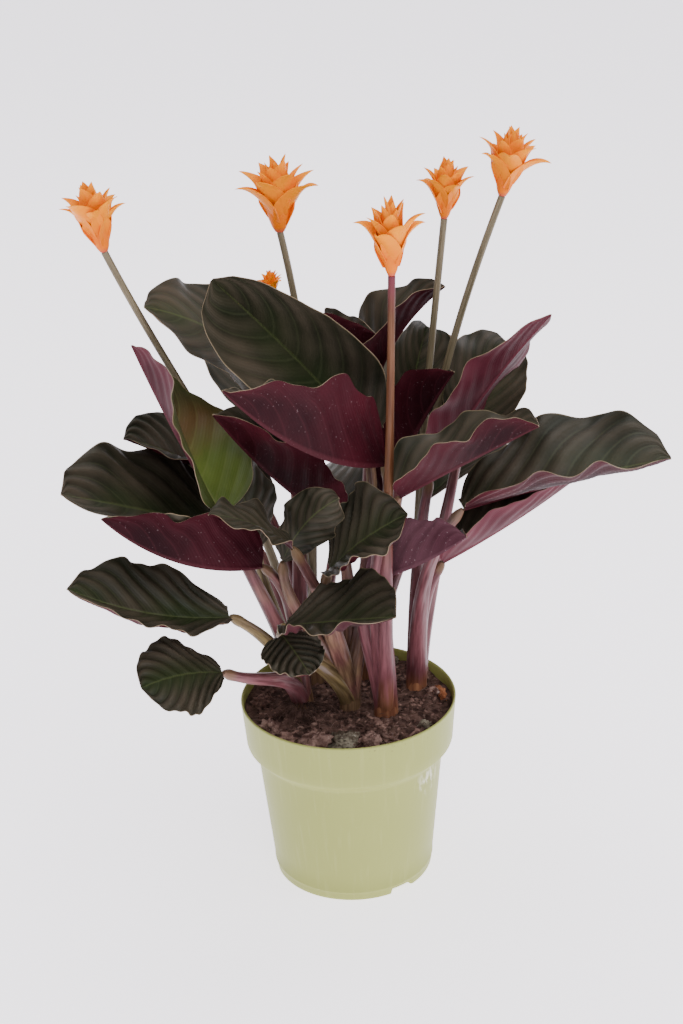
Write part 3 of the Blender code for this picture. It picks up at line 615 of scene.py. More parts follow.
def open_soil_patch():
    """The part of the soil's top where loose bits may lie, clear of the pot's wall."""
    builder = bmesh.new()
    reach = pot_inner_radius(SOIL_TOP) - SOIL_GAP - PATCH_MARGIN
    rows = []
    for row in range(PATCH_STEPS + 1):
        line = []
        for column in range(PATCH_STEPS + 1):
            x = reach * (2 * column / PATCH_STEPS - 1)
            y = reach * (2 * row / PATCH_STEPS - 1)
            line.append(builder.verts.new((x, y, float(soil_height(x, y)))))
        rows.append(line)
    for row in range(PATCH_STEPS):
        for column in range(PATCH_STEPS):
            x, y, _ = rows[row][column].co
            if x * x + y * y <= (reach - 0.002) ** 2:
                builder.faces.new((rows[row][column], rows[row][column + 1],
                                   rows[row + 1][column + 1], rows[row + 1][column]))
    return mesh_from("patch", builder)


def make_soil_look(name, dark, light, speckle):
    """Damp peat or bark: mottled browns."""
    material, tree, shader = new_look(name, 0.92, 0.25)
    place = object_place(tree)
    mottled = blend(between(grain(place, 160.0, 4.0, 0.6), 0.35, 0.68), dark, light)
    pale = between(grain(place, 420.0, 3.0, 0.6), 0.62, 0.74)
    feed(shader.inputs["Base Color"], blend(0.55 * pale, mottled, speckle))
    bump(shader, grain(place, 900.0, 4.0, 0.7), 0.7, 0.0008)
    return material


def collect(name, objects):
    """A collection of a few shapes, which stands outside the scene."""
    collection = bpy.data.collections.new(name)
    for item in objects:
        collection.objects.link(item)
    return collection


def chip_collection(name, sizes, seed):
    """A few ragged bits of given sizes."""
    return collect(name, [make_chip(f"{name}_{index}", size, seed + index)
                          for index, size in enumerate(sizes)])


def add_root_fibres(builder):
    """Root fibres that lie round the left shoot's foot, higher the nearer they are to it."""
    draw = np.random.default_rng(31)
    for index in range(ROOT_COUNT):
        fibre = make_fibre(f"root_{index}", draw.uniform(*ROOT_LENGTHS), 200 + index, ROOT_RADIUS)
        angle = draw.uniform(*ROOT_TURNS) * pi
        away = draw.uniform(*ROOT_REACH)
        x = ROOT_MIDDLE[0] + away * cos(angle)
        y = ROOT_MIDDLE[1] + away * sin(angle)
        rise = 0.0005 + 0.25 * max(ROOT_CLIMB_REACH - away, 0.0)
        tilt = Matrix.Rotation(ROOT_TILT, 4, "Y")
        place = Matrix.Translation((x, y, float(soil_height(x, y)) + rise))
        fibre.data.transform(place @ Matrix.Rotation(angle, 4, "Z") @ tilt)
        builder.from_mesh(fibre.data)


soil_looks = [make_soil_look(name, *colours) for name, colours in SOIL_LOOKS.items()]
bark_bits = chip_collection("bark", BARK_SIZES, 20)
grit_bits = chip_collection("grit", GRIT_SIZES, 40)
fibre_bits = collect("fibres", [make_fibre(f"fibre_{index}", length, 90 + index)
                                for index, length in enumerate(FIBRE_LENGTHS)])
crumb_bits = chip_collection("crumb", CRUMB_SIZES, 60)
STREWN = (
    # bits, look, most in a square metre, spacing, smallest and largest scale, tilt, seed
    (bark_bits, BARK, 40000.0, 0.0032, 0.55, 1.25, 0.55, 3),
    (crumb_bits, SOIL, 90000.0, 0.0020, 0.6, 1.6, 1.0, 5),
    (grit_bits, CLOD, 5200.0, 0.008, 0.4, 1.15, 0.7, 8),
    (fibre_bits, BARK, 30000.0, 0.0038, 0.6, 1.3, 0.35, 11),
)
scatter, scatter_names = scatter_tree()
patch = open_soil_patch()
soil_builder = build_soil()
for bits, look, density, spacing, smallest, largest, tilt, seed in STREWN:
    values = {"Density": density, "Spacing": spacing, "Smallest": smallest, "Largest": largest,
              "Tilt": tilt, "Seed": seed, "Bits": bits, "Look": soil_looks[look]}
    first = len(soil_builder.faces)
    soil_builder.from_mesh(run_tree(scatter, scatter_names, patch, values))
    soil_builder.faces.ensure_lookup_table()
    for face in soil_builder.faces[first:]:
        face.material_index = look
for order, (place, size, turn, look) in enumerate(CLODS):
    add_lump(soil_builder, place, size, turn, order + 1, look)
add_root_fibres(soil_builder)
bmesh.ops.recalc_face_normals(soil_builder, faces=soil_builder.faces)
make_piece("soil_plug", mesh_from("soil_plug", soil_builder), soil_looks, "soil")


# Leaf blades
# Each blade grew on its stalk: a satin dark green upper face with pleats along its side
# veins, a maroon underside with a raised midrib, and a thin pale waved margin.
BLADE_ROWS = 72
BLADE_COLUMNS = 40
BLADE_THICKNESS = 0.0006
BLADE_START_GAP = 0.0008
BLADE_NARROWEST = 0.05
MIDRIB_STEPS = 48
FOLD_SAMPLES = 8
MIDRIB_HEIGHT = 0.0011
MIDRIB_DIP = 0.35
MIDRIB_HALF_WIDTH = 0.0014
VEIN_PAIRS = 7
VEIN_SLANT = 0.38
SOFT_PLEAT = 0.0004
DEEP_PLEAT = 0.0013
RUFFLE_DEPTH = 0.0014
WAVE_SHIFT = 1.1
DEEP_PLEATED = ("leaf_left_big", "leaf_low_left", "leaf_low_round", "leaf_tiny_front",
                "leaf_low_centre", "leaf_centre_dark", "leaf_right_big", "leaf_left_small")


def leaf(shoot, base, heading, pitch, length, width, droop=0, sway=0, roll=0, twist=0,
         fold=(15, 15), curl=(10, 10), fullness=0.6, swell=0.44, wave=0.003, waves=2.5, phase=0.0):
    """One leaf's values: degrees for angles, metres for lengths, left half first in pairs."""
    return dict(shoot=shoot, base=np.array(base), heading=heading, pitch=pitch, length=length,
                width=width, droop=droop, sway=sway, roll=roll, twist=twist, fold=fold,
                curl=curl, fullness=fullness, swell=swell, wave=wave, waves=waves, phase=phase)


YOUNG_LEAVES = ("leaf_flame_young",)
CRIMSON_LEAVES = ("leaf_right_tall", "leaf_right_channel", "leaf_flame_young")
MAUVE_LEAVES = ("leaf_centre_purple",)
LOWER_LOOKS = {
    # deep colour, bright colour for random tone and the painted highlight at the margins, midrib and
    # side veins, how strong pale specks are
    "look_leaf_lower": (
        (0.0130, 0.0017, 0.0034), (0.060, 0.0080, 0.0140), (0.08, 0.017, 0.024), 0.12),
    "look_leaf_lower_crimson": (
        (0.046, 0.0085, 0.0140), (0.140, 0.034, 0.048), (0.15, 0.045, 0.058), 0.0),
    "look_leaf_lower_mauve": (
        (0.075, 0.025, 0.036), (0.165, 0.074, 0.094), (0.18, 0.08, 0.10), 0.55),
}
LEAVES = {
    "leaf_crown_front": leaf(
        "middle", (0.016, -0.011, 0.308), -168, 57, 0.135, 0.097, droop=15, sway=-24, roll=-67,
        twist=-18, fold=(40, 37), curl=(25, 23), fullness=0.42, swell=0.51, wave=0.004, waves=3,
        phase=0.6),
    "leaf_upper_left": leaf(
        "left", (-0.035, 0.060, 0.312), -133, 56, 0.137, 0.089, droop=35, sway=-6, roll=-42,
        twist=5, fold=(-18, 5), curl=(33, 2), fullness=0.58, swell=0.33),
    "leaf_flame_young": leaf(
        "left", (-0.070, -0.069, 0.286), 134, 46, 0.116, 0.082, droop=-3, sway=-7, roll=37,
        twist=55, fold=(10, 47), curl=(-16, 26), fullness=0.66, swell=0.38, wave=0.002, waves=2),
    "leaf_left_small": leaf(
        "left", (-0.078, 0.041, 0.260), -161, 47, 0.074, 0.072, droop=25, sway=7, roll=-11,
        twist=-1, fold=(16, 22), curl=(9, -6), fullness=0.63, swell=0.47, wave=0.002),
    "leaf_left_big": leaf(
        "left", (-0.061, 0.017, 0.235), -155, 25, 0.138, 0.104, droop=-1, sway=16, roll=-17,
        fold=(6, 18), curl=(8, 4), fullness=0.59, swell=0.47, wave=0.004, waves=3),
    "leaf_left_under": leaf(
        "left", (-0.048, -0.068, 0.251), -146, 7, 0.112, 0.067, droop=-43, sway=-19, roll=2,
        twist=6, fold=(70, 79), curl=(22, 37), fullness=0.64, swell=0.31, waves=3),
    "leaf_low_left": leaf(
        "left", (-0.069, -0.063, 0.216), -157, 8, 0.105, 0.069, droop=-27, sway=-7, roll=-11,
        twist=6, fold=(12, 28), curl=(11, 12), fullness=0.55, swell=0.53, wave=0.002, waves=3),
    "leaf_low_round": leaf(
        "left", (-0.073, -0.098, 0.197), -161, 17, 0.051, 0.060, droop=29, sway=7, roll=-13,
        twist=-14, fold=(-2, 0), curl=(5, -3), fullness=0.52, swell=0.55, wave=0.002, waves=2),
    "leaf_tiny_front": leaf(
        "middle", (-0.038, -0.083, 0.213), -59, -17, 0.033, 0.040, droop=17, sway=3, roll=-1,
        twist=-4, fold=(0, -15), curl=(4, 7), fullness=0.53, swell=0.39, wave=0.001, waves=2),
    "leaf_low_centre": leaf(
        "middle", (-0.036, -0.085, 0.220), -32, 17, 0.081, 0.074, droop=-1, sway=-3, roll=-10,
        twist=4, fold=(33, -3), curl=(11, 19), fullness=0.57, swell=0.52),
    "leaf_centre_dark": leaf(
        "middle", (-0.009, -0.073, 0.249), -16, 50, 0.061, 0.074, droop=24, sway=16, roll=-10,
        twist=16, fold=(24, -10), curl=(32, 21), fullness=0.59, swell=0.48, waves=2),
    "leaf_centre_purple": leaf(
        "front_right", (0.013, -0.034, 0.222), -40, 24, 0.086, 0.059, droop=-17, sway=12,
        roll=-5, twist=3, fold=(13, 108), curl=(20, 11), fullness=0.56, swell=0.41, wave=0.002),
    "leaf_right_channel": leaf(
        "right", (0.062, -0.014, 0.224), -5, 30, 0.103, 0.065, droop=-2, sway=21, roll=-16,
        fold=(32, 18), curl=(14, 22), fullness=0.67, swell=0.39, wave=0.002),
    "leaf_right_big": leaf(
        "right", (0.073, -0.036, 0.269), 12, 10, 0.129, 0.120, droop=-5, sway=-24, roll=1,
        twist=18, fold=(16, 31), curl=(-15, 17), fullness=0.54, swell=0.51, wave=0.004, waves=3),
    "leaf_right_mid": leaf(
        "front_right", (0.034, -0.063, 0.290), 4, 27, 0.095, 0.062, droop=-6, sway=-30, roll=3,
        twist=-13, fold=(44, 45), curl=(1, -3), fullness=0.35, swell=0.31),
    "leaf_right_tall": leaf(
        "right", (0.056, 0.004, 0.273), -14, 63, 0.133, 0.079, droop=14, sway=-2, roll=-31,
        twist=-2, fold=(18, -2), curl=(10, -1), fullness=0.58, swell=0.46, waves=3),
    "leaf_back_right": leaf(
        "right", (0.076, 0.035, 0.279), 66, 48, 0.086, 0.085, droop=25, sway=-15, roll=38,
        twist=-1, fold=(38, 52), curl=(8, 18), fullness=0.64, swell=0.45),
    "leaf_back_centre": leaf(
        "back_right", (0.043, 0.061, 0.275), 69, 71, 0.083, 0.071, droop=42, sway=2, roll=17,
        twist=2, fold=(53, 28), curl=(15, 15), fullness=0.63, swell=0.46),
    "leaf_top_right": leaf(
        "back_right", (0.022, 0.063, 0.303), -7, 79, 0.093, 0.078, droop=42, sway=1, roll=14,
        twist=-14, fold=(33, 38), curl=(4, -6), fullness=0.61, swell=0.39),
    "leaf_top_small": leaf(
        "back_left", (-0.014, 0.066, 0.312), -27, 44, 0.059, 0.083, droop=1, sway=12, roll=-3,
        twist=-3, fold=(49, 66), curl=(14, 29), fullness=0.67, swell=0.45, wave=0.002),
    "leaf_mid_purple": leaf(
        "front_right", (0.028, -0.005, 0.264), -17, 69, 0.098, 0.068, droop=12, sway=-5,
        roll=-46, fold=(45, 47), curl=(33, 21), fullness=0.68, swell=0.46),
    "leaf_centre_wing": leaf(
        "middle", (0.026, -0.050, 0.306), -120, 15, 0.157, 0.091, droop=-36, sway=-26, roll=20,
        twist=-5, fold=(76, 60), curl=(-12, 9), fullness=0.8, swell=0.37, wave=0.004, waves=3),
    "leaf_centre_wing_low": leaf(
        "middle", (-0.005, -0.014, 0.254), -147, 41, 0.124, 0.071, droop=-14, sway=7, roll=-12,
        twist=-8, fold=(55, 59), curl=(-1, -3), fullness=0.67, swell=0.45),
    "leaf_left_back_dark": leaf(
        "left", (-0.054, -0.019, 0.239), 125, 76, 0.074, 0.061, droop=16, sway=1, roll=22,
        twist=-4, fold=(5, -6), curl=(8, 8), fullness=0.65, swell=0.41, wave=0.002),
    "leaf_centre_curl_left": leaf(
        "middle", (-0.029, -0.083, 0.269), -166, 49, 0.057, 0.046, droop=37, sway=1, roll=8,
        twist=-3, fold=(5, 16), curl=(-7, 3), fullness=0.62, swell=0.49),
    "leaf_centre_curl_right": leaf(
        "middle", (-0.036, -0.067, 0.253), -26, 68, 0.064, 0.034, droop=36, sway=-8, roll=78,
        twist=-2, fold=(0, -20), curl=(-1, -28), fullness=0.58, swell=0.54, waves=3),
    "leaf_rear_low_left": leaf(
        "back_left", (-0.050, 0.060, 0.232), 150, 25, 0.120, 0.075, droop=45, fold=(20, 20)),
    "leaf_rear_low_right": leaf(
        "back_right", (0.058, 0.072, 0.230), 40, 30, 0.120, 0.078, droop=45, fold=(20, 25)),
    "leaf_rear_mid_left": leaf(
        "back_left", (-0.030, 0.082, 0.262), 118, 50, 0.135, 0.085, droop=65, fold=(20, 20)),
    "leaf_rear_mid_right": leaf(
        "back_right", (0.028, 0.088, 0.258), 72, 50, 0.130, 0.085, droop=65, fold=(25, 15)),
    "leaf_rear_low": leaf(
        "back_left", (-0.004, 0.082, 0.210), 95, 20, 0.115, 0.070, droop=45, fold=(15, 20)),
}


def rib_points(values, shares):
    """Points on the midrib, which is walked in short steps along its changing direction."""
    middles = (np.arange(MIDRIB_STEPS) + 0.5) / MIDRIB_STEPS
    heading = np.radians(values["heading"] + values["sway"] * middles)
    pitch = np.radians(values["pitch"] - values["droop"] * middles)
    along = np.stack([np.cos(pitch) * np.cos(heading), np.cos(pitch) * np.sin(heading),
                      np.sin(pitch)], axis=-1)
    walked = np.vstack([np.zeros(3), np.cumsum(along, axis=0)])
    walked = walked * values["length"] / MIDRIB_STEPS + values["base"]
    marks = np.linspace(0.0, 1.0, MIDRIB_STEPS + 1)
    return np.stack([np.interp(shares, marks, walked[:, axis]) for axis in range(3)], axis=-1)


def rib_frames(values, shares):
    """The blade's forward, right and up directions at each share of its length."""
    heading = np.radians(values["heading"] + values["sway"] * shares)
    pitch = np.radians(values["pitch"] - values["droop"] * shares)
    roll = np.radians(values["roll"] + values["twist"] * shares)
    flat = np.zeros_like(shares)
    level = np.stack([np.cos(heading), np.sin(heading), flat], axis=-1)
    rise = np.stack([flat, flat, np.ones_like(shares)], axis=-1)
    forward = np.cos(pitch)[:, None] * level + np.sin(pitch)[:, None] * rise
    flat_right = np.stack([np.sin(heading), -np.cos(heading), flat], axis=-1)
    flat_up = np.cos(pitch)[:, None] * rise - np.sin(pitch)[:, None] * level
    right = np.cos(roll)[:, None] * flat_right - np.sin(roll)[:, None] * flat_up
    up = np.cos(roll)[:, None] * flat_up + np.sin(roll)[:, None] * flat_right
    return forward, right, up


def half_widths(values, shares):
    """Half of the blade's width at each share of its length."""
    inside = np.clip(shares, 1e-6, 1 - 1e-6)
    power = log(0.5) / log(values["swell"])
    outline = np.maximum(BLADE_NARROWEST, np.sin(pi * inside ** power)) ** values["fullness"]
    point = np.clip((1.0 - shares) / 0.05, 0.0, 1.0) ** 0.6
    return 0.5 * values["width"] * outline * (0.12 + 0.88 * point)


def smooth_surface(values, shares, sides):
    """Grid of points on the blade's middle surface, without pleats."""
    middle = rib_points(values, shares)
    _, right, up = rib_frames(values, shares)
    width = half_widths(values, shares)[:, None]
    reach = np.abs(sides)[None, :]
    sign = np.where(sides < 0, -1.0, 1.0)[None, :]
    fold = np.where(sides < 0, values["fold"][0], values["fold"][1])
    curl = np.where(sides < 0, values["curl"][0], values["curl"][1])
    parts = (np.arange(FOLD_SAMPLES) + 0.5) / FOLD_SAMPLES
    angles = np.radians(fold[None, :] + curl[None, :] * np.abs(sides)[None, :] * parts[:, None])
    out = np.cos(angles).mean(axis=0)[None, :] * reach * width * sign
    lift = np.sin(angles).mean(axis=0)[None, :] * reach * width
    along = shares[:, None]
    taper = np.sqrt(np.sin(pi * np.clip(along, 0.0, 1.0)).clip(0.0))
    swing = np.sin(2 * pi * values["waves"] * along + values["phase"] + WAVE_SHIFT * sign)
    ripple = values["wave"] * reach ** 2 * swing * taper
    ruffle = RUFFLE_DEPTH * reach ** 4 * taper * (
        np.sin(19.0 * along + 2.0 * sign + 900.0 * values["width"] + 2.0 * np.sin(7.0 * along))
        + 0.4 * np.sin(47.0 * along + 3.0 * sign + 700.0 * values["length"]))
    lift = lift + ripple + ruffle
    return middle[:, None, :] + out[..., None] * right[:, None, :] + lift[..., None] * up[:, None, :]


def surface_normals(points):
    """Unit directions that leave the upper face of a grid."""
    along = np.gradient(points, axis=0)
    across = np.gradient(points, axis=1)
    normals = np.cross(across, along)
    return normals / (np.linalg.norm(normals, axis=-1, keepdims=True) + 1e-12)


def column_sides():
    """Places across the blade, closer together at the midrib and at the margins."""
    even = np.linspace(-1.0, 1.0, BLADE_COLUMNS + 1)
    return np.sign(even) * (0.5 * np.abs(even) + 0.5 * (1 - np.cos(pi * np.abs(even))) / 2)


def close_sheet(builder, top, bottom, bottom_order=-1):
    """Faces of a thin sheet on two grids of vertices: material 0 above, 1 below, 2 at the edge."""
    rows = len(top) - 1
    columns = len(top[0]) - 1
    for row in range(rows):
        for column in range(columns):
            for index, grid in enumerate((top, bottom)):
                corners = (grid[row][column], grid[row + 1][column],
                           grid[row + 1][column + 1], grid[row][column + 1])
                made = builder.faces.new(corners if index == 0 else corners[::bottom_order])
                made.material_index = index
    edge = [(0, column) for column in range(columns)]
    edge += [(row, columns) for row in range(rows)]
    edge += [(rows, column) for column in range(columns, 0, -1)]
    edge += [(row, 0) for row in range(rows, 0, -1)]
    for here, after in zip(edge, edge[1:] + edge[:1]):
        made = builder.faces.new((top[here[0]][here[1]], top[after[0]][after[1]],
                                  bottom[after[0]][after[1]], bottom[here[0]][here[1]]))
        made.material_index = 2


def blade_mesh(name, values, pleat_depth):
    """One blade as a closed mesh with its own map: share of the length, and across it."""
    start = BLADE_START_GAP / values["length"]
    shares = start + (1.0 - start) * np.linspace(0.0, 1.0, BLADE_ROWS + 1)
    sides = column_sides()
    points = smooth_surface(values, shares, sides)
    reach = np.abs(sides)[None, :]
    along = shares[:, None]
    vein = along - VEIN_SLANT * reach ** 1.3
    body = np.sin(pi * np.clip(along, 0.0, 1.0)) ** 0.5 * (reach * (1.15 - reach) * 3.0).clip(0, 1)
    pleat = pleat_depth * body * np.cos(2 * pi * VEIN_PAIRS * vein)
    points = points + surface_normals(points) * pleat[..., None]
    normals = surface_normals(points)
    narrowing = 1.0 - 0.75 * along
    from_rib = reach * half_widths(values, shares)[:, None]
    rib = MIDRIB_HEIGHT * narrowing * np.exp(-(from_rib / (MIDRIB_HALF_WIDTH * narrowing)) ** 2)
    thin = 0.5 * BLADE_THICKNESS * (1.0 - 0.45 * reach ** 6)
    upper = points + normals * (thin - MIDRIB_DIP * rib)[..., None]
    lower = points - normals * (thin + rib)[..., None]
    builder = bmesh.new()
    map_layer = builder.loops.layers.uv.new("blade")
    grids = [[[builder.verts.new(point) for point in row] for row in face] for face in (upper, lower)]
    close_sheet(builder, *grids)
    spots = {}
    for grid in grids:
        for share, line in zip(shares, grid):
            for side, vertex in zip(sides, line):
                spots[vertex] = (share, 0.5 + 0.5 * side)
    for made in builder.faces:
        for corner in made.loops:
            corner[map_layer].uv = spots[corner.vert]
    bmesh.ops.recalc_face_normals(builder, faces=builder.faces)
    return mesh_from(name, builder)


def blade_marks(tree):
    """Share of the length, side, distance from the midrib, and vein count at a blade's point."""
    share, across, _ = split(Value(put(tree, "ShaderNodeUVMap", uv_map="blade").outputs[0]))
    side = 2.0 * across - 1.0
    reach = calc("ABSOLUTE", side)
    vein = float(VEIN_PAIRS) * (share - VEIN_SLANT * calc("POWER", reach, 1.3))
    return share, side, reach, vein


def stripes(count, times, sharpness, wander=0.0):
    """Soft stripes from 0 to 1 along a count of veins."""
    wave = 0.5 * calc("COSINE", 2 * pi * times * count + wander) + 0.5
    return calc("POWER", wave, sharpness)


def add_side_veins(vein, reach, colour, strength, vein_colour):
    """Thin side veins that fade out towards the margin."""
    fade = 1.0 - between(reach, 0.60, 0.97)
    return blend(stripes(vein, 1.0, 34.0, pi) * fade * strength, colour, vein_colour)


def add_edges(reach, colour, rib_colour, margin_colour):
    """A paler midrib and a thin pale line along the margin."""
    rib = 1.0 - between(reach, 0.008, 0.040)
    colour = blend(0.55 * rib, colour, rib_colour)
    return blend(0.65 * between(reach, 0.975, 0.997), colour, margin_colour)


def add_fine_ribs(shader, place, vein):
    """Fine lines between the side veins and a skin-like grain, as relief."""
    height = 0.35 * stripes(vein, 6.0, 1.0) + 0.6 * grain(place, 500.0, 3.0)
    bump(shader, height, 0.22, 0.0005)


def make_upper_look():
    """Upper face: green near the midrib, brown-olive bands between darker ones, fine veins."""
    material, tree, shader = new_look("look_leaf_upper", 0.44, 0.15)
    place = object_place(tree)
    _, _, reach, vein = blade_marks(tree)
    outer = 1.0 - between(reach, 0.75, 1.0)
    bands = stripes(vein, 1.0, 1.0, 1.3 * grain(place, 34.0, 2.0) - 0.65) * (0.6 * outer + 0.4)
    patches = between(grain(place, 26.0, 3.0), 0.30, 0.75)
    colour = blend(0.38 * bands + 0.52 * patches, (0.0125, 0.0145, 0.0078), (0.084, 0.066, 0.046))
    inner = 1.0 - between(reach, 0.05, 0.65)
    green = inner * between(grain(place, 17.0, 1.0), 0.35, 0.70)
    colour = blend(0.7 * green, colour, (0.022, 0.038, 0.011))
    colour = add_side_veins(vein, reach, colour, 0.22, (0.090, 0.100, 0.050))
    colour = add_edges(reach, colour, (0.085, 0.105, 0.040), (0.24, 0.19, 0.11))
    feed(shader.inputs["Base Color"], colour)
    feed(shader.inputs["Roughness"], 0.16 * grain(place, 90.0, 2.0) + 0.37)
    add_fine_ribs(shader, place, vein)
    return material


def make_young_look():
    """The youngest blade: bright green at its foot, then orange-brown, then dark olive."""
    material, tree, shader = new_look("look_leaf_young", 0.40, 0.30)
    place = object_place(tree)
    share, side, reach, vein = blade_marks(tree)
    tone = grain(place, 40.0, 3.0)
    green = blend(tone, (0.045, 0.078, 0.007), (0.135, 0.175, 0.034))
    brown = blend(tone, (0.085, 0.042, 0.014), (0.115, 0.075, 0.026))
    olive = blend(tone, (0.036, 0.038, 0.016), (0.075, 0.072, 0.030))
    along = 0.16 * tone + share - 0.08 * side
    colour = blend(between(along, 0.34, 0.56), green, brown)
    colour = blend(between(along, 0.56, 0.78), colour, olive)
    left_half = between(side, 0.02, -0.35)
    colour = blend(0.75 * left_half, colour, (0.040, 0.048, 0.017))
    colour = blend(0.45 * between(reach, 0.62, 1.0), colour, (0.060, 0.080, 0.024))
    colour = add_side_veins(vein, reach, colour, 0.20, (0.20, 0.22, 0.08))
    colour = add_edges(reach, colour, (0.26, 0.26, 0.09), (0.30, 0.22, 0.12))
    feed(shader.inputs["Base Color"], colour)
    add_fine_ribs(shader, place, vein)
    return material


def make_lower_look(name, deep, bright, rib_colour, specks):
    """Underside: crimson to mauve, with faint side veins, a raised midrib, and a painted highlight
    that lightens it towards the margins.
    """
    material, tree, shader = new_look(name, 0.50, 0.06)
    place = object_place(tree)
    _, _, reach, vein = blade_marks(tree)
    tone = between(grain(place, 22.0, 3.0), 0.30, 0.72)
    # Random tone, plus painted highlight: lighter towards the margins, where the curled edges catch
    # the light.
    colour = blend(0.55 * tone + 0.45 * between(reach, 0.35, 1.0), deep, bright)
    colour = add_side_veins(vein, reach, colour, 0.16, rib_colour)
    rib = 1.0 - between(reach, 0.02, 0.07)
    colour = blend(0.45 * rib, colour, rib_colour)
    if specks > 0.0:
        dots = between(grain(place, 620.0, 2.0, 0.6), 0.67, 0.74)
        colour = blend(specks * dots, colour, (0.62, 0.48, 0.50))
    feed(shader.inputs["Base Color"], colour)
    add_fine_ribs(shader, place, vein)
    return material


def make_margin_look():
    """The thin pale pinkish margin."""
    material, tree, shader = new_look("look_leaf_margin", 0.5, 0.4)
    tone = grain(object_place(tree), 120.0, 2.0)
    feed(shader.inputs["Base Color"], blend(tone, (0.14, 0.10, 0.055), (0.32, 0.23, 0.15)))
    return material


upper_dark = make_upper_look()
upper_young = make_young_look()
lower_maroon, lower_crimson, lower_mauve = [make_lower_look(name, *values)
                                            for name, values in LOWER_LOOKS.items()]
margin_look = make_margin_look()
for node, values in LEAVES.items():
    above = upper_young if node in YOUNG_LEAVES else upper_dark
    below = lower_crimson if node in CRIMSON_LEAVES else lower_maroon
    if node in MAUVE_LEAVES:
        below = lower_mauve
    pleat_depth = DEEP_PLEAT if node in DEEP_PLEATED else SOFT_PLEAT
    name = node.replace("leaf_", "blade_")
    make_piece(name, blade_mesh(name, values, pleat_depth), [above, below, margin_look], node)


# Shoots
# Each shoot is one growth that stands in the soil: a swollen sheathed foot, leaf stalks that
# wrap each other low down and end in a small knee under the blade, and its flower stalks.
STALK_RINGS = 44
STALK_SIDES = 18
PETIOLE_TIP_RADIUS = 0.0026
PETIOLE_FOOT_RADIUS = 0.0056
SHEATH_RADII = {"front_right": 0.0068, "right": 0.0060}
STALK_TIP_RADIUS = 0.0021
STALK_FOOT_RADIUS = 0.0033
FRONT_STALK_EXTRA_RADIUS = 0.0020
KNEE_LENGTH = 0.011
GRAIN_RADIUS = 0.004
GRAIN_STRETCH = 0.07
FOOT_PROFILE = ((0.100, 0.99), (0.106, 1.0), (0.112, 1.0), (SOIL_TOP, 0.99), (SOIL_TOP + 0.006, 0.96),
                (SOIL_TOP + 0.012, 0.84), (SOIL_TOP + 0.018, 0.70), (SOIL_TOP + 0.022, 0.56))
FOOT, PETIOLE, FLOWER_STALK = (0.0, 1.0, 2.0)
SHOOTS = {
    # place in the pot, radius of the foot
    "left": ((-0.030, -0.002), 0.0075),
    "middle": ((0.001, -0.004), 0.0070),
    "front_right": ((0.024, -0.014), 0.0078),
    "right": ((0.045, 0.018), 0.0065),
    "back_left": ((-0.022, 0.030), 0.0068),
    "back_right": ((0.014, 0.036), 0.0068),
}
# How olive a stalk is, from 0 for mauve to 1 for yellow-green
SHOOT_HUES = {"left": 0.28, "middle": 0.45, "front_right": 0.08, "right": 0.05, "back_left": 0.3,
              "back_right": 0.2}
LEAF_HUES = {"leaf_low_left": 0.75, "leaf_low_centre": 0.75, "leaf_tiny_front": 0.6,
             "leaf_low_round": 0.15, "leaf_left_back_dark": 0.8}
FRONT_HEAD = "flower_head_front"
FLOWERS = {
    # shoot, top of the stalk, its lean there and at the foot, the head's lean and size
    "flower_head_left": (
        "left", (-0.1334, 0.0, 0.4265), (-0.42, 0.0), (0.0, 0.0), (-0.20, 0.05), 0.95),
    "flower_head_middle": (
        "back_left", (-0.0313, 0.050, 0.4210), (-0.20, 0.12), (0.0, 0.0), (-0.02, 0.08), 1.05),
    "flower_head_front": (
        "front_right", (0.0327, -0.065, 0.4250), (0.03, 0.02), (0.0, -0.40), (0.0, 0.02), 1.00),
    "flower_head_right": (
        "right", (0.0693, 0.050, 0.4253), (0.12, 0.08), (0.0, 0.0), (0.08, 0.05), 0.85),
    "flower_head_far_right": (
        "right", (0.1029, 0.030, 0.4434), (0.38, 0.0), (0.0, 0.0), (0.20, 0.05), 0.95),
    "flower_head_small": (
        "back_left", (-0.0396, 0.090, 0.3667), (-0.05, 0.12), (0.0, 0.0), (-0.05, 0.05), 0.42),
}


def bend(start, start_pull, end, end_pull, shares):
    """Points on a cubic curve that leaves start and reaches end along its two pulls."""
    share = shares[:, None]
    return ((1 - share) ** 3 * start + 3 * share * (1 - share) ** 2 * (start + start_pull)
            + 3 * share ** 2 * (1 - share) * (end - end_pull) + share ** 3 * end)


def unit(vector):
    """A vector's direction."""
    return vector / np.linalg.norm(vector)


def petiole_route(values, shares):
    """Route of a leaf's stalk from the shoot's foot up to the blade."""
    (x, y), _ = SHOOTS[values["shoot"]]
    foot = np.array([x, y, SOIL_TOP])
    end = values["base"]
    forward, _, _ = rib_frames(values, np.zeros(1))
    reach = np.linalg.norm(end - foot)
    lean = unit(end - foot)
    start_pull = unit(np.array([0.0, 0.0, 1.0]) + 0.5 * lean) * (0.30 * reach)
    end_pull = unit(forward[0] + lean + np.array([0.0, 0.0, 0.3])) * (0.30 * reach)
    return bend(foot, start_pull, end, end_pull, shares)


def stalk_route(shoot, top, lean, foot_lean, shares):
    """Route of a flower stalk up to its head."""
    (x, y), _ = SHOOTS[shoot]
    foot = np.array([x, y, SOIL_TOP])
    end = np.array(top)
    reach = np.linalg.norm(end - foot)
    start_pull = unit(np.array([foot_lean[0], foot_lean[1], 1.0])) * (0.40 * reach)
    end_pull = unit(np.array([lean[0], lean[1], 1.0])) * (0.40 * reach)
    return bend(foot, start_pull, end, end_pull, shares)


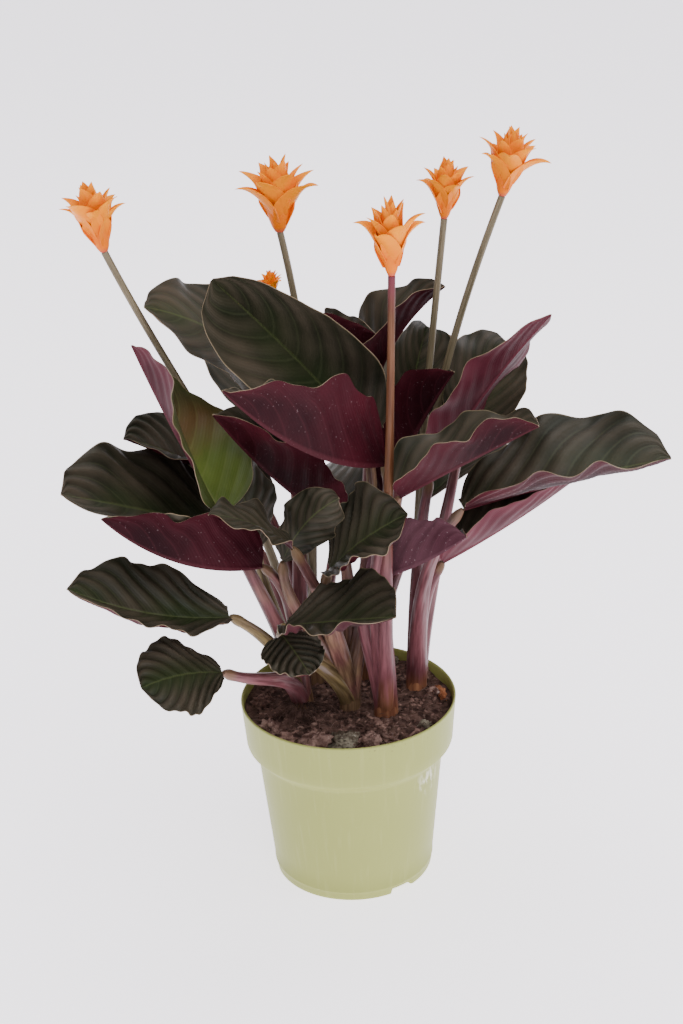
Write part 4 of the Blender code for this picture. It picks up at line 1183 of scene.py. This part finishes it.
def sweep(builder, layers, points, radii, shape, kind, hue):
    """Closed tube with rounded ends; shape gives the radius's change round it."""
    side = np.array([1.0, 0.0, 0.0])
    last = len(points) - 1
    lengths = np.concatenate([[0.0], np.cumsum(np.linalg.norm(np.diff(points, axis=0), axis=1))])
    turns = np.arange(STALK_SIDES) * 2 * pi / STALK_SIDES
    kind_layer, share_layer, hue_layer, grain_layer = layers

    def add_vertex(place, share):
        vertex = builder.verts.new(place)
        vertex[kind_layer] = kind
        vertex[hue_layer] = hue
        vertex[share_layer] = share
        return vertex

    rings = []
    for index, point in enumerate(points):
        along = unit(points[min(index + 1, last)] - points[max(index - 1, 0)])
        side = unit(side - along * side.dot(along))
        across = np.cross(along, side)
        radius = radii[index] * shape(turns, index / last)
        ring = np.outer(radius * np.cos(turns), side) + np.outer(radius * np.sin(turns), across)
        rings.append([add_vertex(place, index / last) for place in point + ring])
        for vertex, turn in zip(rings[-1], turns):
            vertex[grain_layer] = (GRAIN_RADIUS * cos(turn), GRAIN_RADIUS * sin(turn),
                                   GRAIN_STRETCH * lengths[index] + points[last][0])
    join_rings(builder, [[add_vertex(points[0], 0.0)]] + rings + [[add_vertex(points[last], 1.0)]])


def petiole_shape(turns, share):
    """A leaf stalk's section: broad with a groove low down, round higher up."""
    sheath = max(0.0, 1.0 - share / 0.55)
    groove = 0.16 * sheath * np.exp(-((turns - pi / 2) / 0.5) ** 2)
    ribs = 0.025 * np.cos(9 * turns)
    return 1.0 + 0.14 * sheath * np.cos(2 * turns) - groove + ribs


def flower_stalk_shape(turns, _):
    """A flower stalk's section: round with faint lengthwise ribs."""
    return 1.0 + 0.03 * np.cos(7 * turns)


def petiole_radii(shares, length, foot_radius):
    """Radii that thin up the stalk and swell at the knee under the blade."""
    radii = foot_radius + (PETIOLE_TIP_RADIUS - foot_radius) * shares ** 1.4
    knee = np.exp(-(((1.0 - shares) * length - 0.6 * KNEE_LENGTH) / (0.45 * KNEE_LENGTH)) ** 2)
    end = np.clip((1.0 - shares) / 0.035, 0.0, 1.0)
    return radii * (1.0 + 0.20 * knee) * (0.55 + 0.45 * end ** 0.6)


def shoot_mesh(name, shoot):
    """One shoot: foot, leaf stalks and flower stalks."""
    builder = bmesh.new()
    layers = [builder.verts.layers.float.new(title) for title in ("kind", "up", "hue")]
    layers.append(builder.verts.layers.float_vector.new("lengthwise"))
    hue = SHOOT_HUES[shoot]
    (x, y), radius = SHOOTS[shoot]
    foot = np.array([(x, y, height) for height, _ in FOOT_PROFILE])
    widths = radius * np.array([width for _, width in FOOT_PROFILE])
    sweep(builder, layers, foot, widths, petiole_shape, FOOT, hue)
    shares = np.linspace(0.0, 1.0, STALK_RINGS)
    for node, values in LEAVES.items():
        if values["shoot"] != shoot:
            continue
        route = petiole_route(values, shares)
        length = np.linalg.norm(np.diff(route, axis=0), axis=1).sum()
        radii = petiole_radii(shares, length, SHEATH_RADII.get(shoot, PETIOLE_FOOT_RADIUS))
        sweep(builder, layers, route, radii, petiole_shape, PETIOLE, LEAF_HUES.get(node, hue))
    for node, (owner, top, lean, foot_lean, _, _) in FLOWERS.items():
        if owner != shoot:
            continue
        route = stalk_route(owner, top, lean, foot_lean, shares)
        in_front = node == FRONT_HEAD
        foot_radius = STALK_FOOT_RADIUS + (FRONT_STALK_EXTRA_RADIUS if in_front else 0.0)
        radii = STALK_TIP_RADIUS + (foot_radius - STALK_TIP_RADIUS) * (1 - shares) ** 1.6
        own_hue = 0.0 if in_front else 1.0
        sweep(builder, layers, route, radii, flower_stalk_shape, FLOWER_STALK, own_hue)
    bmesh.ops.recalc_face_normals(builder, faces=builder.faces)
    return mesh_from(name, builder)


def make_stem_look():
    """Stalks: mauve and olive leaf stalks, olive-brown flower stalks, all faintly streaked."""
    material, tree, shader = new_look("look_stem", 0.45, 0.22)
    kind, up, hue = [attribute(tree, name) for name in ("kind", "up", "hue")]
    lengthwise = attribute(tree, "lengthwise", "Vector")
    streak = between(grain(lengthwise, 420.0, 3.0, 0.6), 0.26, 0.76)
    mauve = blend(streak, (0.066, 0.017, 0.021), (0.210, 0.078, 0.088))
    olive = blend(streak, (0.060, 0.040, 0.018), (0.240, 0.180, 0.078))
    mottled = 0.9 * grain(object_place(tree), 32.0, 2.0) - 0.45
    petiole = blend(between(hue + mottled, 0.15, 0.85), mauve, olive)
    papery = between(grain(lengthwise, 190.0, 3.0, 0.6), 0.54, 0.70)
    petiole = blend(0.45 * papery, petiole, (0.27, 0.22, 0.22))
    petiole = blend(0.5 * between(up, 0.90, 0.97), petiole, (0.17, 0.12, 0.05))
    orange_foot = blend(streak, (0.110, 0.038, 0.022), (0.370, 0.165, 0.085))
    brown_foot = blend(streak, (0.060, 0.032, 0.018), (0.230, 0.145, 0.080))
    foot = blend(between(hue, 0.10, 0.35), orange_foot, brown_foot)
    low = 1.0 - between(0.06 * streak + up, 0.04, 0.14)
    petiole = blend(low, petiole, foot)
    warm = blend(streak, (0.085, 0.028, 0.011), (0.165, 0.072, 0.034))
    warm = blend(between(up, 0.93, 1.0), warm, (0.150, 0.026, 0.040))
    flushed = blend(between(up, 0.36, 0.54), mauve, warm)
    green = blend(streak, (0.110, 0.088, 0.048), (0.230, 0.188, 0.120))
    stalk = blend(low, blend(hue, flushed, green), foot)
    colour = blend(between(kind, 0.4, 0.6), foot, petiole)
    feed(shader.inputs["Base Color"], blend(between(kind, 1.4, 1.6), colour, stalk))
    bump(shader, streak, 0.35, 0.0006)
    return material


stem_look = make_stem_look()
for shoot in SHOOTS:
    name = "stems_" + shoot
    make_piece(name, shoot_mesh(name, shoot), [stem_look], "shoot_" + shoot)


# Flower heads
# Each head grew at the tip of its stalk: a narrow cup of waxy orange bracts, set in a rising
# spiral, whose pointed tips curl outward more the lower they sit.
BRACT_COUNT = 20
BRACT_ROWS = 14
BRACT_COLUMNS = 10
BRACT_THICKNESS = 0.0007
BRACT_CURL = 2.4
BRACT_KINDS = (
    # length, width, start and end elevation in degrees, cup
    (0.0335, 0.0235, 66, -10, 0.42),
    (0.0310, 0.0220, 70, 12, 0.40),
    (0.0260, 0.0190, 76, 34, 0.40),
    (0.0215, 0.0165, 84, 56, 0.42),
    (0.0180, 0.0130, 89, 74, 0.45),
)
# How much wider than the plain shape each head has opened
HEAD_SPREADS = {"flower_head_left": 1.00, "flower_head_middle": 1.10, "flower_head_front": 0.82,
                "flower_head_right": 0.95, "flower_head_far_right": 0.98, "flower_head_small": 1.0}
CORE_PROFILE = ((0.0, 0.0, 0), (0.0024, 0.0, 0), (0.0040, 0.003, 0), (0.0056, 0.008, 0),
                (0.0066, 0.014, 0), (0.0064, 0.022, 0), (0.0050, 0.030, 0), (0.0, 0.036, 0))
CORE_TURNS = 20
JOINT_HEIGHT = 0.002
GOLDEN_TURN = 2.399
FIRST_TURN_STEP = 0.9


def bract_object(name, length, width, rise, fall, cup, seed):
    """One bract with its root at the origin, which leans out along +X."""
    draw = np.random.default_rng(seed)
    shares = np.linspace(0.0, 1.0, BRACT_ROWS + 1)
    steps = np.radians(rise + (fall - rise) * ((shares[1:] + shares[:-1]) / 2) ** BRACT_CURL)
    step = length / BRACT_ROWS
    spine = np.vstack([[0.0, 0.0], np.cumsum(np.stack([np.cos(steps), np.sin(steps)], axis=-1),
                                             axis=0) * step])
    facing = np.radians(rise + (fall - rise) * shares ** BRACT_CURL)[:, None]
    half = (0.5 * width * np.minimum(0.50 + 1.6 * shares, 1.0) * (1 - shares ** 1.9) ** 1.05)[:, None]
    sides = np.linspace(-1.0, 1.0, BRACT_COLUMNS + 1)[None, :]
    along = shares[:, None]
    lean = 0.0012 * draw.uniform(-1.0, 1.0)
    waviness = 0.11 * along * half * np.sin(7 * along + 3 * sides + draw.uniform(0, 6))
    lift = cup * half * np.abs(sides) ** 2 * (1 - 0.3 * along) + waviness
    grid = np.zeros((BRACT_ROWS + 1, BRACT_COLUMNS + 1, 3))
    grid[..., 0] = spine[:, None, 0] - np.sin(facing) * lift
    grid[..., 1] = half * sides + lean * 3 * along ** 2
    grid[..., 2] = spine[:, None, 1] + np.cos(facing) * lift
    thick = 0.5 * BRACT_THICKNESS * surface_normals(grid) * (1 - 0.5 * along[..., None])
    builder = bmesh.new()
    tip_layer = builder.verts.layers.float.new("tip")
    faces = [[[builder.verts.new(point) for point in row] for row in face]
             for face in (grid + thick, grid - thick)]
    for face in faces:
        for share, line in zip(shares, face):
            for vertex in line:
                vertex[tip_layer] = share
    close_sheet(builder, *faces, bottom_order=1)
    for made in builder.faces:
        made.material_index = 0
    bmesh.ops.remove_doubles(builder, verts=builder.verts, dist=1e-6)
    bmesh.ops.recalc_face_normals(builder, faces=builder.faces)
    return bpy.data.objects.new(name, mesh_from(name, builder))


def spiral_tree():
    """Bracts in a rising spiral round a core: named inputs for count, turn, radius and seed."""
    tree, names, source = open_tree("bract_spiral", (
        ("Core", "Geometry", None), ("Count", "Int", BRACT_COUNT), ("Turn", "Float", GOLDEN_TURN),
        ("First Turn", "Float", 0.0), ("Lowest Root", "Float", 0.004),
        ("Highest Root", "Float", 0.029), ("Root Radius", "Float", 0.0048), ("Seed", "Int", 1),
        ("Bracts", "Collection", None), ("Look", "Material", None)))
    line = put(tree, "GeometryNodeMeshLine", {"Count": source["Count"]})
    index = Value(tree.nodes.new("GeometryNodeInputIndex").outputs[0])
    share = index / source["Count"]
    angle = index * source["Turn"] + source["First Turn"]
    height = put(tree, "ShaderNodeMapRange",
                 {0: share, 1: 0.0, 2: 1.0, 3: source["Lowest Root"], 4: source["Highest Root"]})
    radius = calc("SINE", 2.3 * share + 0.45) * source["Root Radius"]
    spot = put(tree, "ShaderNodeCombineXYZ", {0: calc("COSINE", angle) * radius,
                                              1: calc("SINE", angle) * radius,
                                              2: height.outputs[0]})
    placed = put(tree, "GeometryNodeSetPosition",
                 {"Geometry": line.outputs[0], "Position": spot.outputs[0]})
    kind = calc("FLOOR", share * float(len(BRACT_KINDS)))
    size = random_value(tree, "FLOAT", 0.88, 1.03, source["Seed"])
    spin = put(tree, "ShaderNodeCombineXYZ", {0: 0.0, 1: 1.6 * size - 1.57, 2: angle})
    bracts = set_on_points(tree, placed.outputs[0], source["Bracts"], instance_index=kind,
                           rotation=spin.outputs[0], scale=size)
    joined = put(tree, "GeometryNodeJoinGeometry")
    feed(joined.inputs[0], bracts)
    feed(joined.inputs[0], source["Core"])
    close_tree(tree, joined.outputs[0], source["Look"])
    return tree, names


def make_bract_look():
    """Waxy orange bracts, lighter at the tips and darker towards each bract's root as painted shade
    where the bracts overlap, with a warmer and pinker foot.
    """
    material, tree, shader = new_look("look_bract", 0.42, 0.10)
    place = object_place(tree)
    tip = attribute(tree, "tip")
    # Random tone and painted shade: each bract darker towards its root, in the creases where the
    # bracts overlap, lighter and yellower at its tip.
    shade = 0.40 * grain(place, 90.0, 3.0) + 0.75 * tip
    colour = blend(shade, (0.76, 0.135, 0.0), (0.98, 0.340, 0.0))
    drawn_out = stretched(place, 0.2)
    streak = between(grain(drawn_out, 520.0, 2.0), 0.55, 0.75)
    colour = blend(0.22 * streak, colour, (0.62, 0.10, 0.0))
    colour = blend(0.25 * between(tip, 0.95, 1.0), colour, (0.30, 0.035, 0.010))
    colour = blend(0.85 * attribute(tree, "joint"), colour, (0.50, 0.075, 0.070))
    feed(shader.inputs["Base Color"], colour)
    shader.inputs["Subsurface Weight"].default_value = 0.15
    shader.inputs["Subsurface Radius"].default_value = (0.004, 0.0015, 0.0005)
    bump(shader, grain(drawn_out, 380.0, 2.0), 0.08, 0.0005)
    return material


def core_mesh():
    """The head's core, marked where it joins its stalk."""
    builder = lathe(CORE_PROFILE, [2 * pi * turn / CORE_TURNS for turn in range(CORE_TURNS)])
    joint_layer = builder.verts.layers.float.new("joint")
    for vertex in builder.verts:
        vertex[joint_layer] = 1.0 if vertex.co.z < JOINT_HEIGHT else 0.0
    return mesh_from("core", builder)


bract_look = make_bract_look()
bract_kinds = collect("bract_kinds", [bract_object(f"bract_{index}", *values, 80 + index)
                                      for index, values in enumerate(BRACT_KINDS)])
spiral, spiral_names = spiral_tree()
for order, (node, (_, top, _, _, lean, size)) in enumerate(FLOWERS.items()):
    values = {"Count": BRACT_COUNT, "First Turn": FIRST_TURN_STEP * order, "Seed": order + 1,
              "Bracts": bract_kinds, "Look": bract_look}
    head = run_tree(spiral, spiral_names, core_mesh(), values)
    axis = Vector((*lean, 1.0)).normalized()
    turn = Vector((0.0, 0.0, 1.0)).rotation_difference(axis).to_matrix().to_4x4()
    spread = HEAD_SPREADS[node] * size
    head.transform(Matrix.Translation(Vector(top) + axis * SOIL_GAP) @ turn
                   @ Matrix.Diagonal((spread, spread, size, 1.0)))
    make_piece(node.replace("flower_head", "bloom"), head, [bract_look], node)
